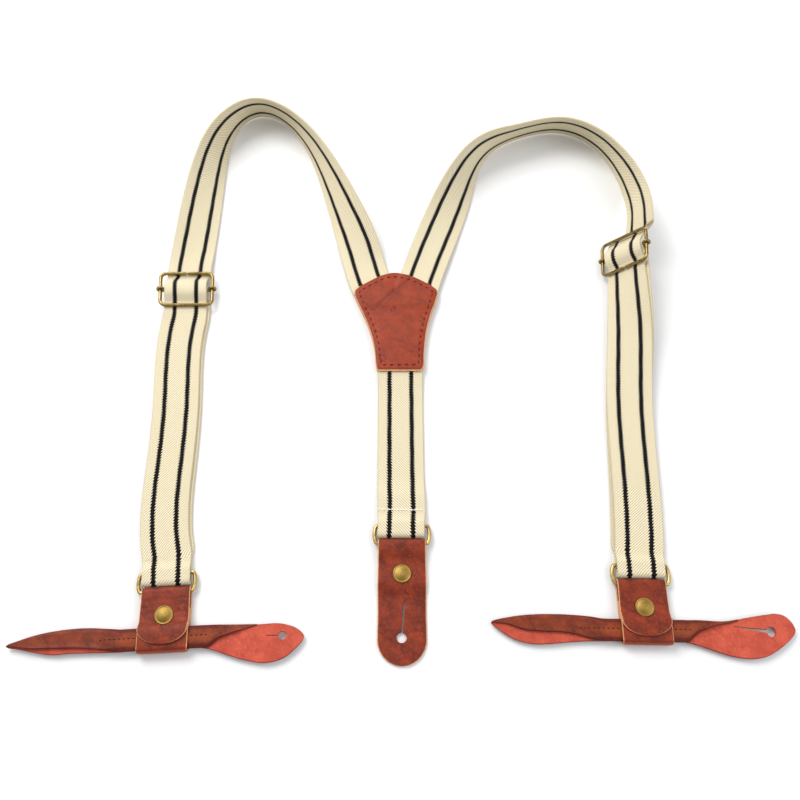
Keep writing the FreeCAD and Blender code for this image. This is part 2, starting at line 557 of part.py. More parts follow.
def button_tab(label, frame, ear_a, ear_b, holes, slits):
    """leather strip rolled at its middle, with a flat ear at each end."""
    lift0 = 1.65
    half = size("roll_w") / 2
    body = new_body(label)
    sk = sketch_on(body, label + "_plan", "XY_Plane", Placement(Vector(0, 0, lift0), Rotation()))
    add_outline(sk, [ear_b[0], ear_b[1], [ear_b[1][-1], ear_a[0][0]], ear_a[0], ear_a[1],
                     [ear_a[1][-1], ear_b[0][0]]])
    pad(body, label + "_pad", sk, "Sizes.ear_thick")
    roll = sketch_on(body, label + "_roll", "XY_Plane", Placement(Vector(0, 0, lift0 + 0.5), Rotation()))
    x0, x1 = -19.0, 19.0
    add_polygon(roll, [(x0, ROLL_Y - half + 2.6), (x1, ROLL_Y - half + 2.6),
                       (x1, ROLL_Y + half - 2.6), (x0, ROLL_Y + half - 2.6)])
    pad(body, label + "_roll_pad", roll, "Sizes.roll_thick - 0.5")
    belly = sketch_on(body, label + "_belly", "XY_Plane", Placement(Vector(0, 0, lift0 + 0.75), Rotation()))
    add_polygon(belly, [(-21.0, -31.0), (21.0, -31.0), (21.0, -20.7), (-21.0, -20.7)])
    pad(body, label + "_belly_pad", belly, "1.0 mm")
    for i, (hx, hy, hr) in enumerate(holes):
        hs = sketch_on(body, label + "_hole%d" % i, "XY_Plane", Placement(Vector(0, 0, 9.0), Rotation()))
        hs.addGeometry(Part.Circle(Vector(hx, hy, 0), Vector(0, 0, 1), size(hr)), False)
        pocket(body, label + "_hole_cut%d" % i, hs, "20 mm")
    for i, (a, b) in enumerate(slits):
        s2 = size("slit_w") / 2
        ss = sketch_on(body, label + "_slit%d" % i, "XY_Plane", Placement(Vector(0, 0, 9.0), Rotation()))
        add_polygon(ss, [(a[0], a[1] - s2), (b[0], b[1] - s2), (b[0], b[1] + s2), (a[0], a[1] + s2)])
        pocket(body, label + "_slit_cut%d" % i, ss, "20 mm")
    return keep(body, label, local(frame))


R0, R1 = -29.6, -21.6
LEFT_EAR_A = [[(-13.5, R1), (-18.6, R1 + 0.05), (-20.6, -20.6), (-27.0, -19.9), (-34.7, -19.1), (-44.4, -19.0), (-63.1, -21.3), (-72.0, -24.0), (-75.9, -25.8)],
              [(-75.9, -25.8), (-71.7, -27.7), (-60.0, -29.9), (-49.6, -31.0), (-36.3, -31.0), (-27.0, -31.3), (-20.8, -31.2), (-18.6, R0 - 0.05), (-13.5, R0)]]
LEFT_EAR_B = [[(13.5, R0), (18.6, R0 - 0.05), (20.8, -31.3), (25.0, -32.6), (31.2, -35.2), (40.9, -38.3), (49.5, -39.8), (58.9, -37.6), (64.6, -33.2), (68.2, -28.2)],
              [(68.2, -28.2), (64.6, -24.2), (58.8, -22.0), (45.3, -21.4), (28.0, -20.6), (20.8, -20.5), (18.6, R1 + 0.05), (13.5, R1)]]
RIGHT_EAR_A = [[(-13.5, R1), (-18.6, R1 + 0.05), (-20.6, -20.4), (-28.7, -19.4), (-44.6, -18.7), (-61.8, -19.7), (-71.1, -21.4), (-75.5, -23.1)],
               [(-75.5, -23.1), (-71.3, -26.8), (-64.3, -31.0), (-56.5, -33.0), (-47.8, -33.0), (-38.5, -32.0), (-27.0, -31.4), (-20.8, -31.2), (-18.6, R0 - 0.05), (-13.5, R0)]]
RIGHT_EAR_B = [[(13.5, R0), (18.6, R0 - 0.05), (20.8, -31.3), (25.0, -32.6), (31.2, -34.6), (41.3, -37.5), (50.1, -38.3), (56.2, -37.3), (64.7, -32.9), (70.4, -28.4), (73.2, -24.3)],
               [(73.2, -24.3), (72.3, -21.0), (69.6, -17.9), (64.8, -16.6), (59.8, -17.2), (49.2, -19.0), (39.1, -20.7), (27.9, -20.4), (20.8, -20.5), (18.6, R1 + 0.05), (13.5, R1)]]
button_tab("left_button_tab", LEFT_RING, LEFT_EAR_A, LEFT_EAR_B, [(57.6, -27.4, "hole_small_r")],
           [((50.0, -27.0), (56.2, -27.3))])
button_tab("right_button_tab", RIGHT_RING, RIGHT_EAR_A, RIGHT_EAR_B, [(61.0, -25.4, "hole_r")],
           [((43.4, -23.2), (59.0, -25.0))])


# ------------------------------------------------------------------------ yoke
YOKE_LEFT = [(-26.6, 68.9), (-26.2, 65.0), (-23.0, 57.2), (-19.6, 48.7), (-17.0, 41.0), (-15.2, 33.3),
             (-14.3, 26.3), (-13.5, 19.4)]
YOKE_BOTTOM = [(-12.1, 16.6), (0.0, 16.3), (12.1, 17.1)]
YOKE_RIGHT = [(13.5, 19.9), (13.8, 26.3), (14.2, 31.8), (15.0, 39.3), (16.4, 47.0), (18.3, 54.5),
              (20.5, 60.9), (21.9, 66.0), (22.0, 68.8)]
YOKE_TOP_R = [(20.2, 72.2), (13.0, 77.0), (6.3, 80.4), (-1.0, 82.4)]
YOKE_TOP_L = [(-5.6, 82.4), (-11.4, 80.4), (-18.5, 76.4), (-25.0, 71.9)]


def yoke_panel(label, lift_alias):
    body = new_body(label)
    sk = sketch_on(body, label + "_plan", "XY_Plane")
    mid = lambda a, b, c: [a, ((a[0] + b[0]) / 2 + c[0], (a[1] + b[1]) / 2 + c[1]), b]
    add_outline(sk, [YOKE_LEFT,
                     mid(YOKE_LEFT[-1], YOKE_BOTTOM[0], (-0.35, -0.3)), YOKE_BOTTOM,
                     mid(YOKE_BOTTOM[-1], YOKE_RIGHT[0], (0.35, -0.3)), YOKE_RIGHT,
                     mid(YOKE_RIGHT[-1], YOKE_TOP_R[0], (0.5, 0.4)), YOKE_TOP_R,
                     mid(YOKE_TOP_R[-1], YOKE_TOP_L[0], (0.0, 0.35)), YOKE_TOP_L,
                     mid(YOKE_TOP_L[-1], YOKE_LEFT[0], (-0.5, 0.4))])
    pad(body, label + "_pad", sk, "Sizes.panel_thick")
    place = Placement(SHIFT + Vector(0, 0, size(lift_alias)), Rotation())
    return keep(body, label, place)


yoke_panel("yoke_back_panel", "panel_back_lift")
yoke_panel("yoke_front_panel", "panel_front_lift")


# -------------------------------------------------------------------- stitches
def stitches(label, placement, marks, lift_z):
    """thread laid as short straight stitches: marks are (x, y, angle)."""
    ln, w, th = size("stitch_len"), size("stitch_w"), size("stitch_thick")
    solids = []
    for x, y, a in marks:
        box = Part.makeBox(ln, w, th, Vector(-ln / 2, -w / 2, 0))
        box.Placement = Placement(Vector(x, y, lift_z), Rotation(Vector(0, 0, 1), a))
        solids.append(box)
    obj = doc.addObject("Part::Feature", label)
    obj.Shape = Part.makeCompound(solids)
    return keep(obj, label, placement)


def marks_along(pts, pitch, inset):
    """stitch places along an open outline, moved inwards (to the left of travel)."""
    c = Part.BSplineCurve()
    c.interpolate(Points=[Vector(p[0], p[1], 0) for p in pts])
    n = max(2, int(round(c.length() / pitch)))
    v = c.discretize(2 * n + 1)
    out = []
    for i in range(n):
        m = v[2 * i + 1]
        d = v[2 * i + 2] - v[2 * i]
        d.normalize()
        out.append((m.x - d.y * inset, m.y + d.x * inset, math.degrees(math.atan2(d.y, d.x))))
    return out


yoke_marks = (marks_along(YOKE_LEFT, 4.2, 3.0)[:-1] + marks_along([(-10.3, 16.6), (0, 16.3), (10.3, 17.0)], 4.2, 3.0)
              + marks_along(YOKE_RIGHT, 4.2, 3.0)[1:-1] + marks_along(YOKE_TOP_R, 4.2, 3.0)
              + marks_along(YOKE_TOP_L, 4.2, 3.0))
stitches("yoke_stitching", Placement(SHIFT, Rotation()), yoke_marks,
         size("panel_front_lift") + size("panel_thick") + 0.02)
stitches("back_strap_stitching", Placement(SHIFT, Rotation()),
         [(-8.6 + 3.6 * i + 0.8, -64.7, 0.0) for i in range(6)], 3.36)
stitches("left_button_tab_stitching", local(LEFT_RING), [(x, ROLL_Y + 0.6, 0.0) for x in (20.0, 23.6, -20.0, -23.6, -27.2)], 4.9)
stitches("right_button_tab_stitching", local(RIGHT_RING), [(x, ROLL_Y + 0.6, 0.0) for x in (20.0, -20.0, -23.6, -27.2, -30.8)], 4.9)

# ----------------------------------------------------------------- write files
doc.recompute()
bad = []
for obj in doc.Objects:
    if any(flag in ("Invalid", "Error") for flag in obj.State):
        bad.append("%s: %s" % (obj.Label, obj.State))
for obj in nodes:
    shape = obj.Shape
    if shape.isNull() or not shape.isValid() or shape.Volume < 1e-3:
        bad.append("%s: shape not usable (null %s, valid %s)" % (obj.Label, shape.isNull(), shape.isValid()))
if bad:
    raise RuntimeError("\n".join(bad))

os.makedirs("parts", exist_ok=True)
box = FreeCAD.BoundBox()
for obj in nodes:
    obj.Shape.exportStep("parts/%s.step" % obj.Label)
    box.add(obj.Shape.BoundBox)
    b = obj.Shape.BoundBox
    print("%-30s vol %9.1f  x %7.1f..%7.1f  y %7.1f..%7.1f  z %5.2f..%5.2f" % (
        obj.Label, obj.Shape.Volume, b.XMin, b.XMax, b.YMin, b.YMax, b.ZMin, b.ZMax))
print("nodes", len(nodes), "box", box)
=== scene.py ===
import json
import math
import bpy
import numpy as np
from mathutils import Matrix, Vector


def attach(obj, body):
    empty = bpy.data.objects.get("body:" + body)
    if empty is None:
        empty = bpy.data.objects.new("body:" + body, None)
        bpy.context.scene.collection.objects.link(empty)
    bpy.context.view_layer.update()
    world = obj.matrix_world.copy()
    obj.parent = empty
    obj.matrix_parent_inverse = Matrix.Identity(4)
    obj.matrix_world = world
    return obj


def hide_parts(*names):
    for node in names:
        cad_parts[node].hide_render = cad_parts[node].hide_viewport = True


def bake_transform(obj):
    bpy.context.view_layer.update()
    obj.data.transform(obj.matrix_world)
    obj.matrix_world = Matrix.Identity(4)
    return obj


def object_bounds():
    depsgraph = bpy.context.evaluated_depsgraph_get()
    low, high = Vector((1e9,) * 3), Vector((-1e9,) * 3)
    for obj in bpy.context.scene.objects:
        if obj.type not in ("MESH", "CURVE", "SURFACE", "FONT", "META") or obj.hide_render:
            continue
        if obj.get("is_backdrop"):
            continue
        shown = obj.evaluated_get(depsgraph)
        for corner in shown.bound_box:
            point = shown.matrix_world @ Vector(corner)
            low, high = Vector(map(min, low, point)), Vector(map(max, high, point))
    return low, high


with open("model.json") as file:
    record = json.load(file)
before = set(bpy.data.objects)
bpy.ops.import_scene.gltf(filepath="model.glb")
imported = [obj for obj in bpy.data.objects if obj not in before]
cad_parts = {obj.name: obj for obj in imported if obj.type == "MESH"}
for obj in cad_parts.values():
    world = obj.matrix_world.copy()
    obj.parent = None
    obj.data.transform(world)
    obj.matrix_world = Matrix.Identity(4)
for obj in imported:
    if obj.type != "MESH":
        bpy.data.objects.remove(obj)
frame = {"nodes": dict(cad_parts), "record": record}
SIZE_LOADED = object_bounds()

# Looks for the button suspenders.  Everything is laid out in millimetres in
# the lay-out frame and turned into metres of the row frame by mesh_from().

SHIFT = np.array([-1.2595, -35.2590, 0.0114])
WEB_T = 1.5
LEA_T = 1.3

# Low edge of the back face (x, y, z) and tilt of the width in degrees.
BANDS = {
    "left_return": (-1, [
        (-112.45, 63.79, 0.28, 7.0), (-111.71, 51.80, 0.25, 6.8), (-112.35, 43.14, 0.20, 5.1), (-112.69, 34.59, 0.17, 4.3),
        (-112.50, 26.05, 0.14, 3.6), (-111.97, 17.48, 0.11, 3.1), (-111.26, 8.88, 0.09, 2.6), (-110.54, 0.26, 0.08, 2.1),
        (-109.98, -8.37, 0.08, 1.6), (-109.61, -17.01, 0.09, 0.9), (-109.40, -25.64, 0.10, 0.3), (-109.30, -34.28, 0.10, 0.0),
        (-109.27, -42.91, 0.10, 0.0), (-109.19, -51.52, 0.10, 0.0), (-108.89, -60.08, 0.09, 0.0), (-108.21, -68.59, 0.09, 0.0),
        (-106.99, -77.01, 0.08, 0.0), (-104.99, -85.33, 0.13, 0.0),
    ]),
    "right_return": (1, [
        (127.46, 84.70, 3.26, 47.0), (126.12, 71.48, 2.64, 43.4), (125.03, 62.79, 2.14, 38.8), (123.70, 54.14, 1.59, 32.5),
        (122.27, 45.50, 1.12, 25.6), (120.78, 36.87, 0.77, 19.5), (119.31, 28.24, 0.54, 15.2), (117.86, 19.61, 0.38, 11.5),
        (116.50, 10.98, 0.26, 8.3), (115.30, 2.32, 0.18, 5.9), (114.31, -6.37, 0.14, 4.3), (113.53, -15.08, 0.11, 3.0),
        (112.89, -23.81, 0.09, 2.0), (112.34, -32.55, 0.08, 1.3), (111.81, -41.28, 0.07, 0.8), (111.26, -50.00, 0.07, 0.4),
        (110.63, -58.72, 0.07, 0.2), (109.89, -67.41, 0.07, 0.0), (109.14, -76.08, 0.08, 0.0), (108.08, -84.74, 0.13, 0.0),
    ]),
    "left_shoulder": (-1, [
        (-27.71, 67.50, 1.60, -0.1), (-30.72, 75.72, 1.60, -0.3), (-33.16, 84.13, 1.60, 0.7), (-35.30, 92.61, 1.49, 6.1),
        (-37.29, 101.13, 1.05, 16.0), (-39.22, 109.65, 0.56, 27.2), (-41.18, 118.18, 0.22, 37.5), (-43.22, 126.69, 0.22, 45.9),
        (-45.34, 135.18, 0.22, 52.6), (-47.55, 143.66, 0.22, 58.9), (-49.84, 152.11, 0.22, 65.1), (-52.28, 160.51, 0.22, 71.2),
        (-54.98, 168.84, 0.22, 77.2), (-58.08, 177.03, 0.22, 83.2), (-61.71, 184.99, 0.23, 89.1), (-66.02, 192.62, 0.34, 94.7),
        (-71.10, 199.74, 0.49, 100.2), (-77.18, 206.03, 0.61, 105.1), (-84.54, 210.79, 0.70, 108.5), (-93.14, 212.11, 0.71, 109.0),
        (-101.19, 208.68, 0.63, 106.0), (-106.84, 202.03, 0.45, 99.1), (-110.24, 193.96, 0.23, 89.4), (-112.04, 185.40, 0.22, 78.5),
        (-112.82, 176.68, 0.22, 68.2), (-113.04, 167.92, 0.22, 59.3), (-113.02, 159.17, 0.22, 52.0), (-112.95, 150.42, 0.22, 45.8),
        (-112.89, 141.66, 0.22, 40.2), (-112.86, 132.91, 0.22, 34.8), (-112.87, 124.15, 0.22, 29.6), (-112.93, 115.40, 0.22, 24.6),
        (-113.10, 106.64, 0.22, 19.6), (-113.33, 97.91, 0.64, 13.5), (-113.51, 89.20, 1.65, 7.7), (-113.60, 80.46, 1.98, 7.0),
    ]),
    "right_shoulder": (1, [
        (21.90, 67.00, 1.60, -0.1), (24.09, 74.72, 1.60, -0.1), (26.48, 82.37, 1.60, 0.9), (28.99, 90.00, 1.57, 4.1),
        (31.54, 97.59, 1.21, 8.3), (34.08, 105.19, 0.77, 12.7), (36.57, 112.81, 0.33, 17.4), (38.95, 120.47, 0.22, 22.9),
        (41.16, 128.18, 0.22, 29.5), (43.15, 135.95, 0.22, 37.3), (44.92, 143.77, 0.22, 46.2), (46.59, 151.62, 0.22, 56.0),
        (48.43, 159.43, 0.22, 66.8), (50.84, 167.08, 0.22, 78.7), (54.32, 174.30, 0.25, 90.3), (59.25, 180.63, 0.47, 99.7),
        (65.36, 185.81, 0.64, 106.1), (72.25, 189.92, 0.73, 109.7), (79.57, 193.19, 0.77, 111.5), (87.17, 195.77, 0.79, 112.4),
        (95.01, 197.45, 0.80, 112.8), (103.03, 197.78, 0.80, 112.7), (110.90, 196.28, 0.78, 112.0), (118.16, 192.88, 0.75, 110.5),
        (124.46, 187.92, 0.69, 108.1), (129.75, 181.89, 0.61, 104.9), (134.05, 175.12, 0.51, 101.1), (137.40, 167.83, 0.40, 97.0),
        (139.93, 160.22, 0.28, 92.3), (141.80, 152.42, 0.22, 87.2), (142.96, 144.52, 0.42, 82.8), (143.13, 136.62, 1.77, 79.1),
        (142.51, 128.72, 3.73, 75.7), (141.30, 120.84, 5.46, 72.3), (139.72, 112.98, 6.15, 68.8), (137.97, 105.16, 5.83, 65.0),
    ]),
    "left_front": (-1, [
        (-113.34, 60.40, 2.14, 7.0), (-112.89, 51.82, 2.19, 6.8), (-113.58, 43.22, 2.10, 5.1), (-113.95, 34.61, 2.05, 4.3),
        (-113.79, 26.00, 2.01, 3.6), (-113.27, 17.39, 1.97, 3.1), (-112.57, 8.78, 1.94, 2.6), (-111.87, 0.17, 1.92, 2.1),
        (-111.33, -8.44, 1.91, 1.6), (-110.99, -17.05, 1.90, 0.9), (-110.79, -25.66, 1.90, 0.3), (-110.70, -34.28, 1.89, 0.0),
        (-110.67, -42.92, 1.89, 0.0), (-110.59, -51.55, 1.89, 0.0), (-110.29, -60.16, 1.88, 0.0), (-109.60, -68.75, 1.88, 0.0),
        (-108.36, -77.27, 1.87, 0.0), (-106.35, -85.65, 1.92, 0.0),
    ]),
    "right_front": (1, [
        (124.98, 80.40, 3.58, 47.0), (124.03, 71.72, 3.11, 43.4), (123.00, 63.04, 2.79, 38.8), (121.90, 54.37, 2.56, 32.5),
        (120.75, 45.70, 2.37, 25.6), (119.57, 37.04, 2.23, 19.5), (118.36, 28.37, 2.14, 15.2), (117.18, 19.70, 2.07, 11.5),
        (116.09, 11.03, 2.01, 8.3), (115.13, 2.34, 1.97, 5.9), (114.36, -6.37, 1.94, 4.3), (113.79, -15.09, 1.92, 3.0),
        (113.36, -23.83, 1.90, 2.0), (113.00, -32.57, 1.89, 1.3), (112.66, -41.31, 1.88, 0.8), (112.28, -50.05, 1.87, 0.4),
        (111.83, -58.79, 1.86, 0.2), (111.26, -67.51, 1.86, 0.0), (110.53, -76.22, 1.87, 0.0), (109.47, -84.91, 1.92, 0.0),
    ]),
    "back": (-1, [
        (12.80, 44.00, 1.56, 0.0), (12.74, 39.15, 1.56, 0.0), (12.70, 34.32, 1.55, 0.0), (12.68, 29.51, 1.55, 0.0),
        (12.68, 24.71, 1.53, 0.0), (12.69, 19.92, 1.52, 0.0), (12.70, 15.13, 1.48, 0.0), (12.72, 10.34, 1.04, 0.0),
        (12.75, 5.54, 0.53, 0.0), (12.77, 0.74, 0.30, 0.0), (12.79, -4.07, 0.13, 0.0), (12.80, -8.89, 0.08, 0.0),
        (12.82, -13.70, 0.08, 0.0), (12.84, -18.52, 0.08, 0.0), (12.85, -23.34, 0.08, 0.0), (12.88, -28.15, 0.08, 0.0),
        (12.90, -32.96, 0.08, 0.0), (12.93, -37.77, 0.08, 0.0), (12.97, -42.58, 0.08, 0.0), (13.01, -47.38, 0.13, 0.0),
        (13.08, -52.16, 0.81, 0.0), (13.19, -56.88, 1.73, 0.0), (13.27, -61.68, 1.82, 0.0), (13.35, -66.50, 1.92, 0.0),
    ]),
}



# ------------------------------------------------------------------ maths
def rz(a):
    a = math.radians(a)
    return np.array([[math.cos(a), -math.sin(a), 0], [math.sin(a), math.cos(a), 0], [0, 0, 1]])


def ry(a):
    a = math.radians(a)
    return np.array([[math.cos(a), 0, math.sin(a)], [0, 1, 0], [-math.sin(a), 0, math.cos(a)]])


SLIDER = {"left": (np.array([-126.4, 69.5, 1.95]), rz(5.0) @ ry(7.0)),
          "right": (np.array([135.7, 89.7, 11.6]), rz(-5.0) @ ry(-47.0))}
RING = {"left": (np.array([-116.3, -104.1, 0.0]), rz(3.0)),
        "right": (np.array([120.5, -100.3, 0.0]), rz(-1.0)),
        "back": (np.array([1.0, -79.6, 0.0]), rz(0.0))}
FLAT = (np.zeros(3), np.eye(3))


def at(S, P):
    return S[0] + np.asarray(P, float) @ S[1].T


def chord(P):
    P = np.asarray(P, float)
    return np.concatenate([[0.0], np.cumsum(np.linalg.norm(np.diff(P, axis=0), axis=1))])


def natural(t, Y, q):
    """natural cubic spline through (t, Y) at q."""
    t, Y, q = np.asarray(t, float), np.asarray(Y, float), np.asarray(q, float)
    if Y.ndim == 1:
        return natural(t, Y[:, None], q)[:, 0]
    n = len(t)
    h = np.diff(t)
    A = np.zeros((n, n))
    B = np.zeros((n, Y.shape[1]))
    A[0, 0] = A[-1, -1] = 1.0
    for i in range(1, n - 1):
        A[i, i - 1], A[i, i], A[i, i + 1] = h[i - 1], 2 * (h[i - 1] + h[i]), h[i]
        B[i] = 6 * ((Y[i + 1] - Y[i]) / h[i] - (Y[i] - Y[i - 1]) / h[i - 1])
    M = np.linalg.solve(A, B)
    k = np.clip(np.searchsorted(t, q, side="right") - 1, 0, n - 2)
    a, b, hh = t[k], t[k + 1], h[k]
    u, v = (b - q)[:, None], (q - a)[:, None]
    hh = hh[:, None]
    return (M[k] * u ** 3 + M[k + 1] * v ** 3) / (6 * hh) + (Y[k] / hh - M[k] * hh / 6) * u + (Y[k + 1] / hh - M[k + 1] * hh / 6) * v


def hermite(t, Y, q):
    """smooth curve through (t, Y) that does not swing past its points."""
    t, Y, q = np.asarray(t, float), np.asarray(Y, float), np.asarray(q, float)
    if Y.ndim == 1:
        return hermite(t, Y[:, None], q)[:, 0]
    h = np.diff(t)[:, None]
    d = np.diff(Y, axis=0) / h
    m = np.zeros_like(Y)
    m[0], m[-1] = d[0], d[-1]
    w1, w2 = h[1:], h[:-1]
    m[1:-1] = (d[:-1] * w1 + d[1:] * w2) / (w1 + w2)
    k = np.clip(np.searchsorted(t, q, side="right") - 1, 0, len(t) - 2)
    hk = h[k]
    s = ((q - t[k]) / hk[:, 0])[:, None]
    return ((2 * s ** 3 - 3 * s ** 2 + 1) * Y[k] + (s ** 3 - 2 * s ** 2 + s) * hk * m[k]
            + (-2 * s ** 3 + 3 * s ** 2) * Y[k + 1] + (s ** 3 - s ** 2) * hk * m[k + 1])


def smooth(x, a, b):
    s = np.clip((np.asarray(x, float) - a) / (b - a), 0, 1)
    return s * s * (3 - 2 * s)


def band_path(key, step=2.0):
    """middle line and width direction of a measured band."""
    side, rows = BANDS[key]
    rows = np.array(rows, float)
    s = chord(rows[:, :3])
    q = np.linspace(0, s[-1], max(12, int(s[-1] / step)))
    r = natural(s, rows, q)
    P, ph = r[:, :3], np.radians(r[:, 3])
    tg = np.gradient(P[:, :2], q, axis=0)
    tg /= np.linalg.norm(tg, axis=1)[:, None]
    O = np.stack([-tg[:, 1], tg[:, 0], 0 * tg[:, 0]], 1) * side
    Z = np.array([0.0, 0.0, 1.0])
    e = O * np.cos(ph)[:, None] + Z * np.sin(ph)[:, None]
    n = -O * np.sin(ph)[:, None] + Z * np.cos(ph)[:, None]
    return P + 12.5 * e + WEB_T / 2 * n, e


def local_path(S, pts, side):
    """points (x', y', z') of a middle line in a local frame; width along local X."""
    C = at(S, pts)
    e = np.tile(S[1] @ np.array([float(side), 0, 0]), (len(C), 1))
    return C, e


# ------------------------------------------------------------------ meshes
def mesh_from(name, verts, faces, mat, uv=None, attrs=None, smooth_shade=True):
    me = bpy.data.meshes.new(name)
    me.from_pydata(((np.asarray(verts, float) + SHIFT) * 0.001).tolist(), [], faces)
    if uv is not None:
        layer = me.uv_layers.new(name="UVMap")
        idx = np.zeros(len(me.loops), np.int64)
        me.loops.foreach_get("vertex_index", idx)
        layer.data.foreach_set("uv", np.asarray(uv, np.float32)[idx].ravel())
    for key, vals in (attrs or {}).items():
        a = me.attributes.new(key, "FLOAT", "POINT")
        a.data.foreach_set("value", np.asarray(vals, np.float32))
    if smooth_shade:
        me.polygons.foreach_set("use_smooth", [True] * len(me.polygons))
    me.materials.append(mat)
    me.validate()
    me.update()
    ob = bpy.data.objects.new(name, me)
    bpy.context.scene.collection.objects.link(ob)
    return ob


def section(nu, na):
    """closed cross-section: columns are width share, corner share, height share, edge, under."""
    out = []
    for q in np.linspace(-1, 1, nu):
        out.append((q, -q, 1.0, 0.0, 0.0))
    for f in np.linspace(90, -90, na + 2)[1:-1]:
        c, s = math.cos(math.radians(f)), math.sin(math.radians(f))
        out.append((1.0, c - 1, s, 1.0, 0.5))
    for q in np.linspace(1, -1, nu):
        out.append((q, -q, -1.0, 0.0, 1.0))
    for f in np.linspace(-90, -270, na + 2)[1:-1]:
        c, s = math.cos(math.radians(f)), math.sin(math.radians(f))
        out.append((-1.0, c + 1, s, 1.0, 0.5))
    return np.array(out)


def slab(name, C, E, hw, T, r, mat, nu=28, na=5, v0=0.0, flip_u=False, full=25.0, lift=None, extra=None, up=1.0,
         end_round=0.0):
    """strip of cloth or leather along C, its width along E."""
    C, E = np.asarray(C, float), np.asarray(E, float)
    m = len(C)
    s = chord(C)
    t3 = np.gradient(C, s, axis=0)
    t3 /= np.linalg.norm(t3, axis=1)[:, None]
    N = np.cross(t3, E)
    N /= np.linalg.norm(N, axis=1)[:, None]
    if N[0, 2] * up < 0:
        N = -N
    hw = np.broadcast_to(np.asarray(hw, float), (m,))
    T = np.broadcast_to(np.asarray(T, float), (m,)).copy()
    if end_round > 0:
        for dist in (s, s[-1] - s):
            k = dist < end_round
            T[k] = T[k] - 2 * end_round + 2 * np.sqrt(np.maximum(0.0, end_round ** 2 - (end_round - dist[k]) ** 2))
        T = np.maximum(T, 0.25)
    r = np.minimum(np.broadcast_to(np.asarray(r, float), (m,)), hw * 0.98)
    sec = section(nu, na)
    lat = hw[:, None] * sec[None, :, 0] + r[:, None] * sec[None, :, 1]
    hgt = T[:, None] / 2 * sec[None, :, 2]
    if lift is not None:
        hgt = hgt + lift(lat, np.broadcast_to(s[:, None], lat.shape), sec)
    V = C[:, None, :] + E[:, None, :] * lat[:, :, None] + N[:, None, :] * hgt[:, :, None]
    k = len(sec)
    faces = []
    for i in range(m - 1):
        a, b = i * k, (i + 1) * k
        for j in range(k):
            jj = (j + 1) % k
            faces.append((a + j, b + j, b + jj, a + jj))
    faces.append(tuple(range(k)))
    faces.append(tuple(range((m - 1) * k, m * k))[::-1])
    if N[m // 2] @ np.cross(t3[m // 2], E[m // 2]) < 0:
        faces = [f[::-1] for f in faces]
    u = lat + full / 2
    if flip_u:
        u = full - u
    uv = np.stack([u, np.broadcast_to(s[:, None] + v0, u.shape)], 2).reshape(-1, 2)
    attrs = {"edge": np.broadcast_to(sec[None, :, 3], u.shape).ravel(),
             "under": np.broadcast_to(sec[None, :, 4], u.shape).ravel()}
    if extra is not None:
        for key, fn in extra.items():
            attrs[key] = np.broadcast_to(fn(V, lat, sec), u.shape).ravel()
    return mesh_from(name, V.reshape(-1, 3), faces, mat, uv, attrs)


def tube(name, P, radius, mat, closed=False, seg=20, normal=(0, 0, 1), raw=False):
    """round wire along P with rounded ends."""
    P = np.asarray(P, float)
    m = len(P)
    if closed:
        t3 = np.roll(P, -1, 0) - np.roll(P, 1, 0)
    else:
        t3 = np.gradient(P, axis=0)
    t3 /= np.linalg.norm(t3, axis=1)[:, None]
    A = np.cross(t3, np.asarray(normal, float))
    A /= np.linalg.norm(A, axis=1)[:, None]
    B = np.cross(t3, A)
    rad = np.broadcast_to(np.asarray(radius, float), (m,))
    if not closed:
        out_p, out_r, out_a, out_b = [], [], [], []
        for f in np.radians([80, 60, 40, 20]):
            out_p.append(P[0] - t3[0] * rad[0] * math.sin(f)); out_r.append(rad[0] * math.cos(f)); out_a.append(A[0]); out_b.append(B[0])
        for i in range(m):
            out_p.append(P[i]); out_r.append(rad[i]); out_a.append(A[i]); out_b.append(B[i])
        for f in np.radians([20, 40, 60, 80]):
            out_p.append(P[-1] + t3[-1] * rad[-1] * math.sin(f)); out_r.append(rad[-1] * math.cos(f)); out_a.append(A[-1]); out_b.append(B[-1])
        P, rad, A, B = np.array(out_p), np.array(out_r), np.array(out_a), np.array(out_b)
        m = len(P)
    th = np.linspace(0, 2 * math.pi, seg, endpoint=False)
    V = (P[:, None, :] + rad[:, None, None] * (np.cos(th)[None, :, None] * A[:, None, :] + np.sin(th)[None, :, None] * B[:, None, :])).reshape(-1, 3)
    faces = []
    for i in range(m if closed else m - 1):
        a, b = i * seg, ((i + 1) % m) * seg
        for j in range(seg):
            jj = (j + 1) % seg
            faces.append((a + j, a + jj, b + jj, b + j))
    if not closed:
        faces.append(tuple(range(seg))[::-1])
        faces.append(tuple(range((m - 1) * seg, m * seg)))
    s = chord(P)
    uv = np.stack([np.broadcast_to(th[None, :] * 1.0, (m, seg)), np.broadcast_to(s[:, None], (m, seg))], 2).reshape(-1, 2)
    if raw:
        return V, faces, uv
    return mesh_from(name, V, faces, mat, uv)


def merge(parts):
    V, F, U, k = [], [], [], 0
    for v, f, u in parts:
        V.append(v); U.append(u)
        F += [tuple(x + k for x in g) for g in f]
        k += len(v)
    return np.concatenate(V), F, np.concatenate(U)


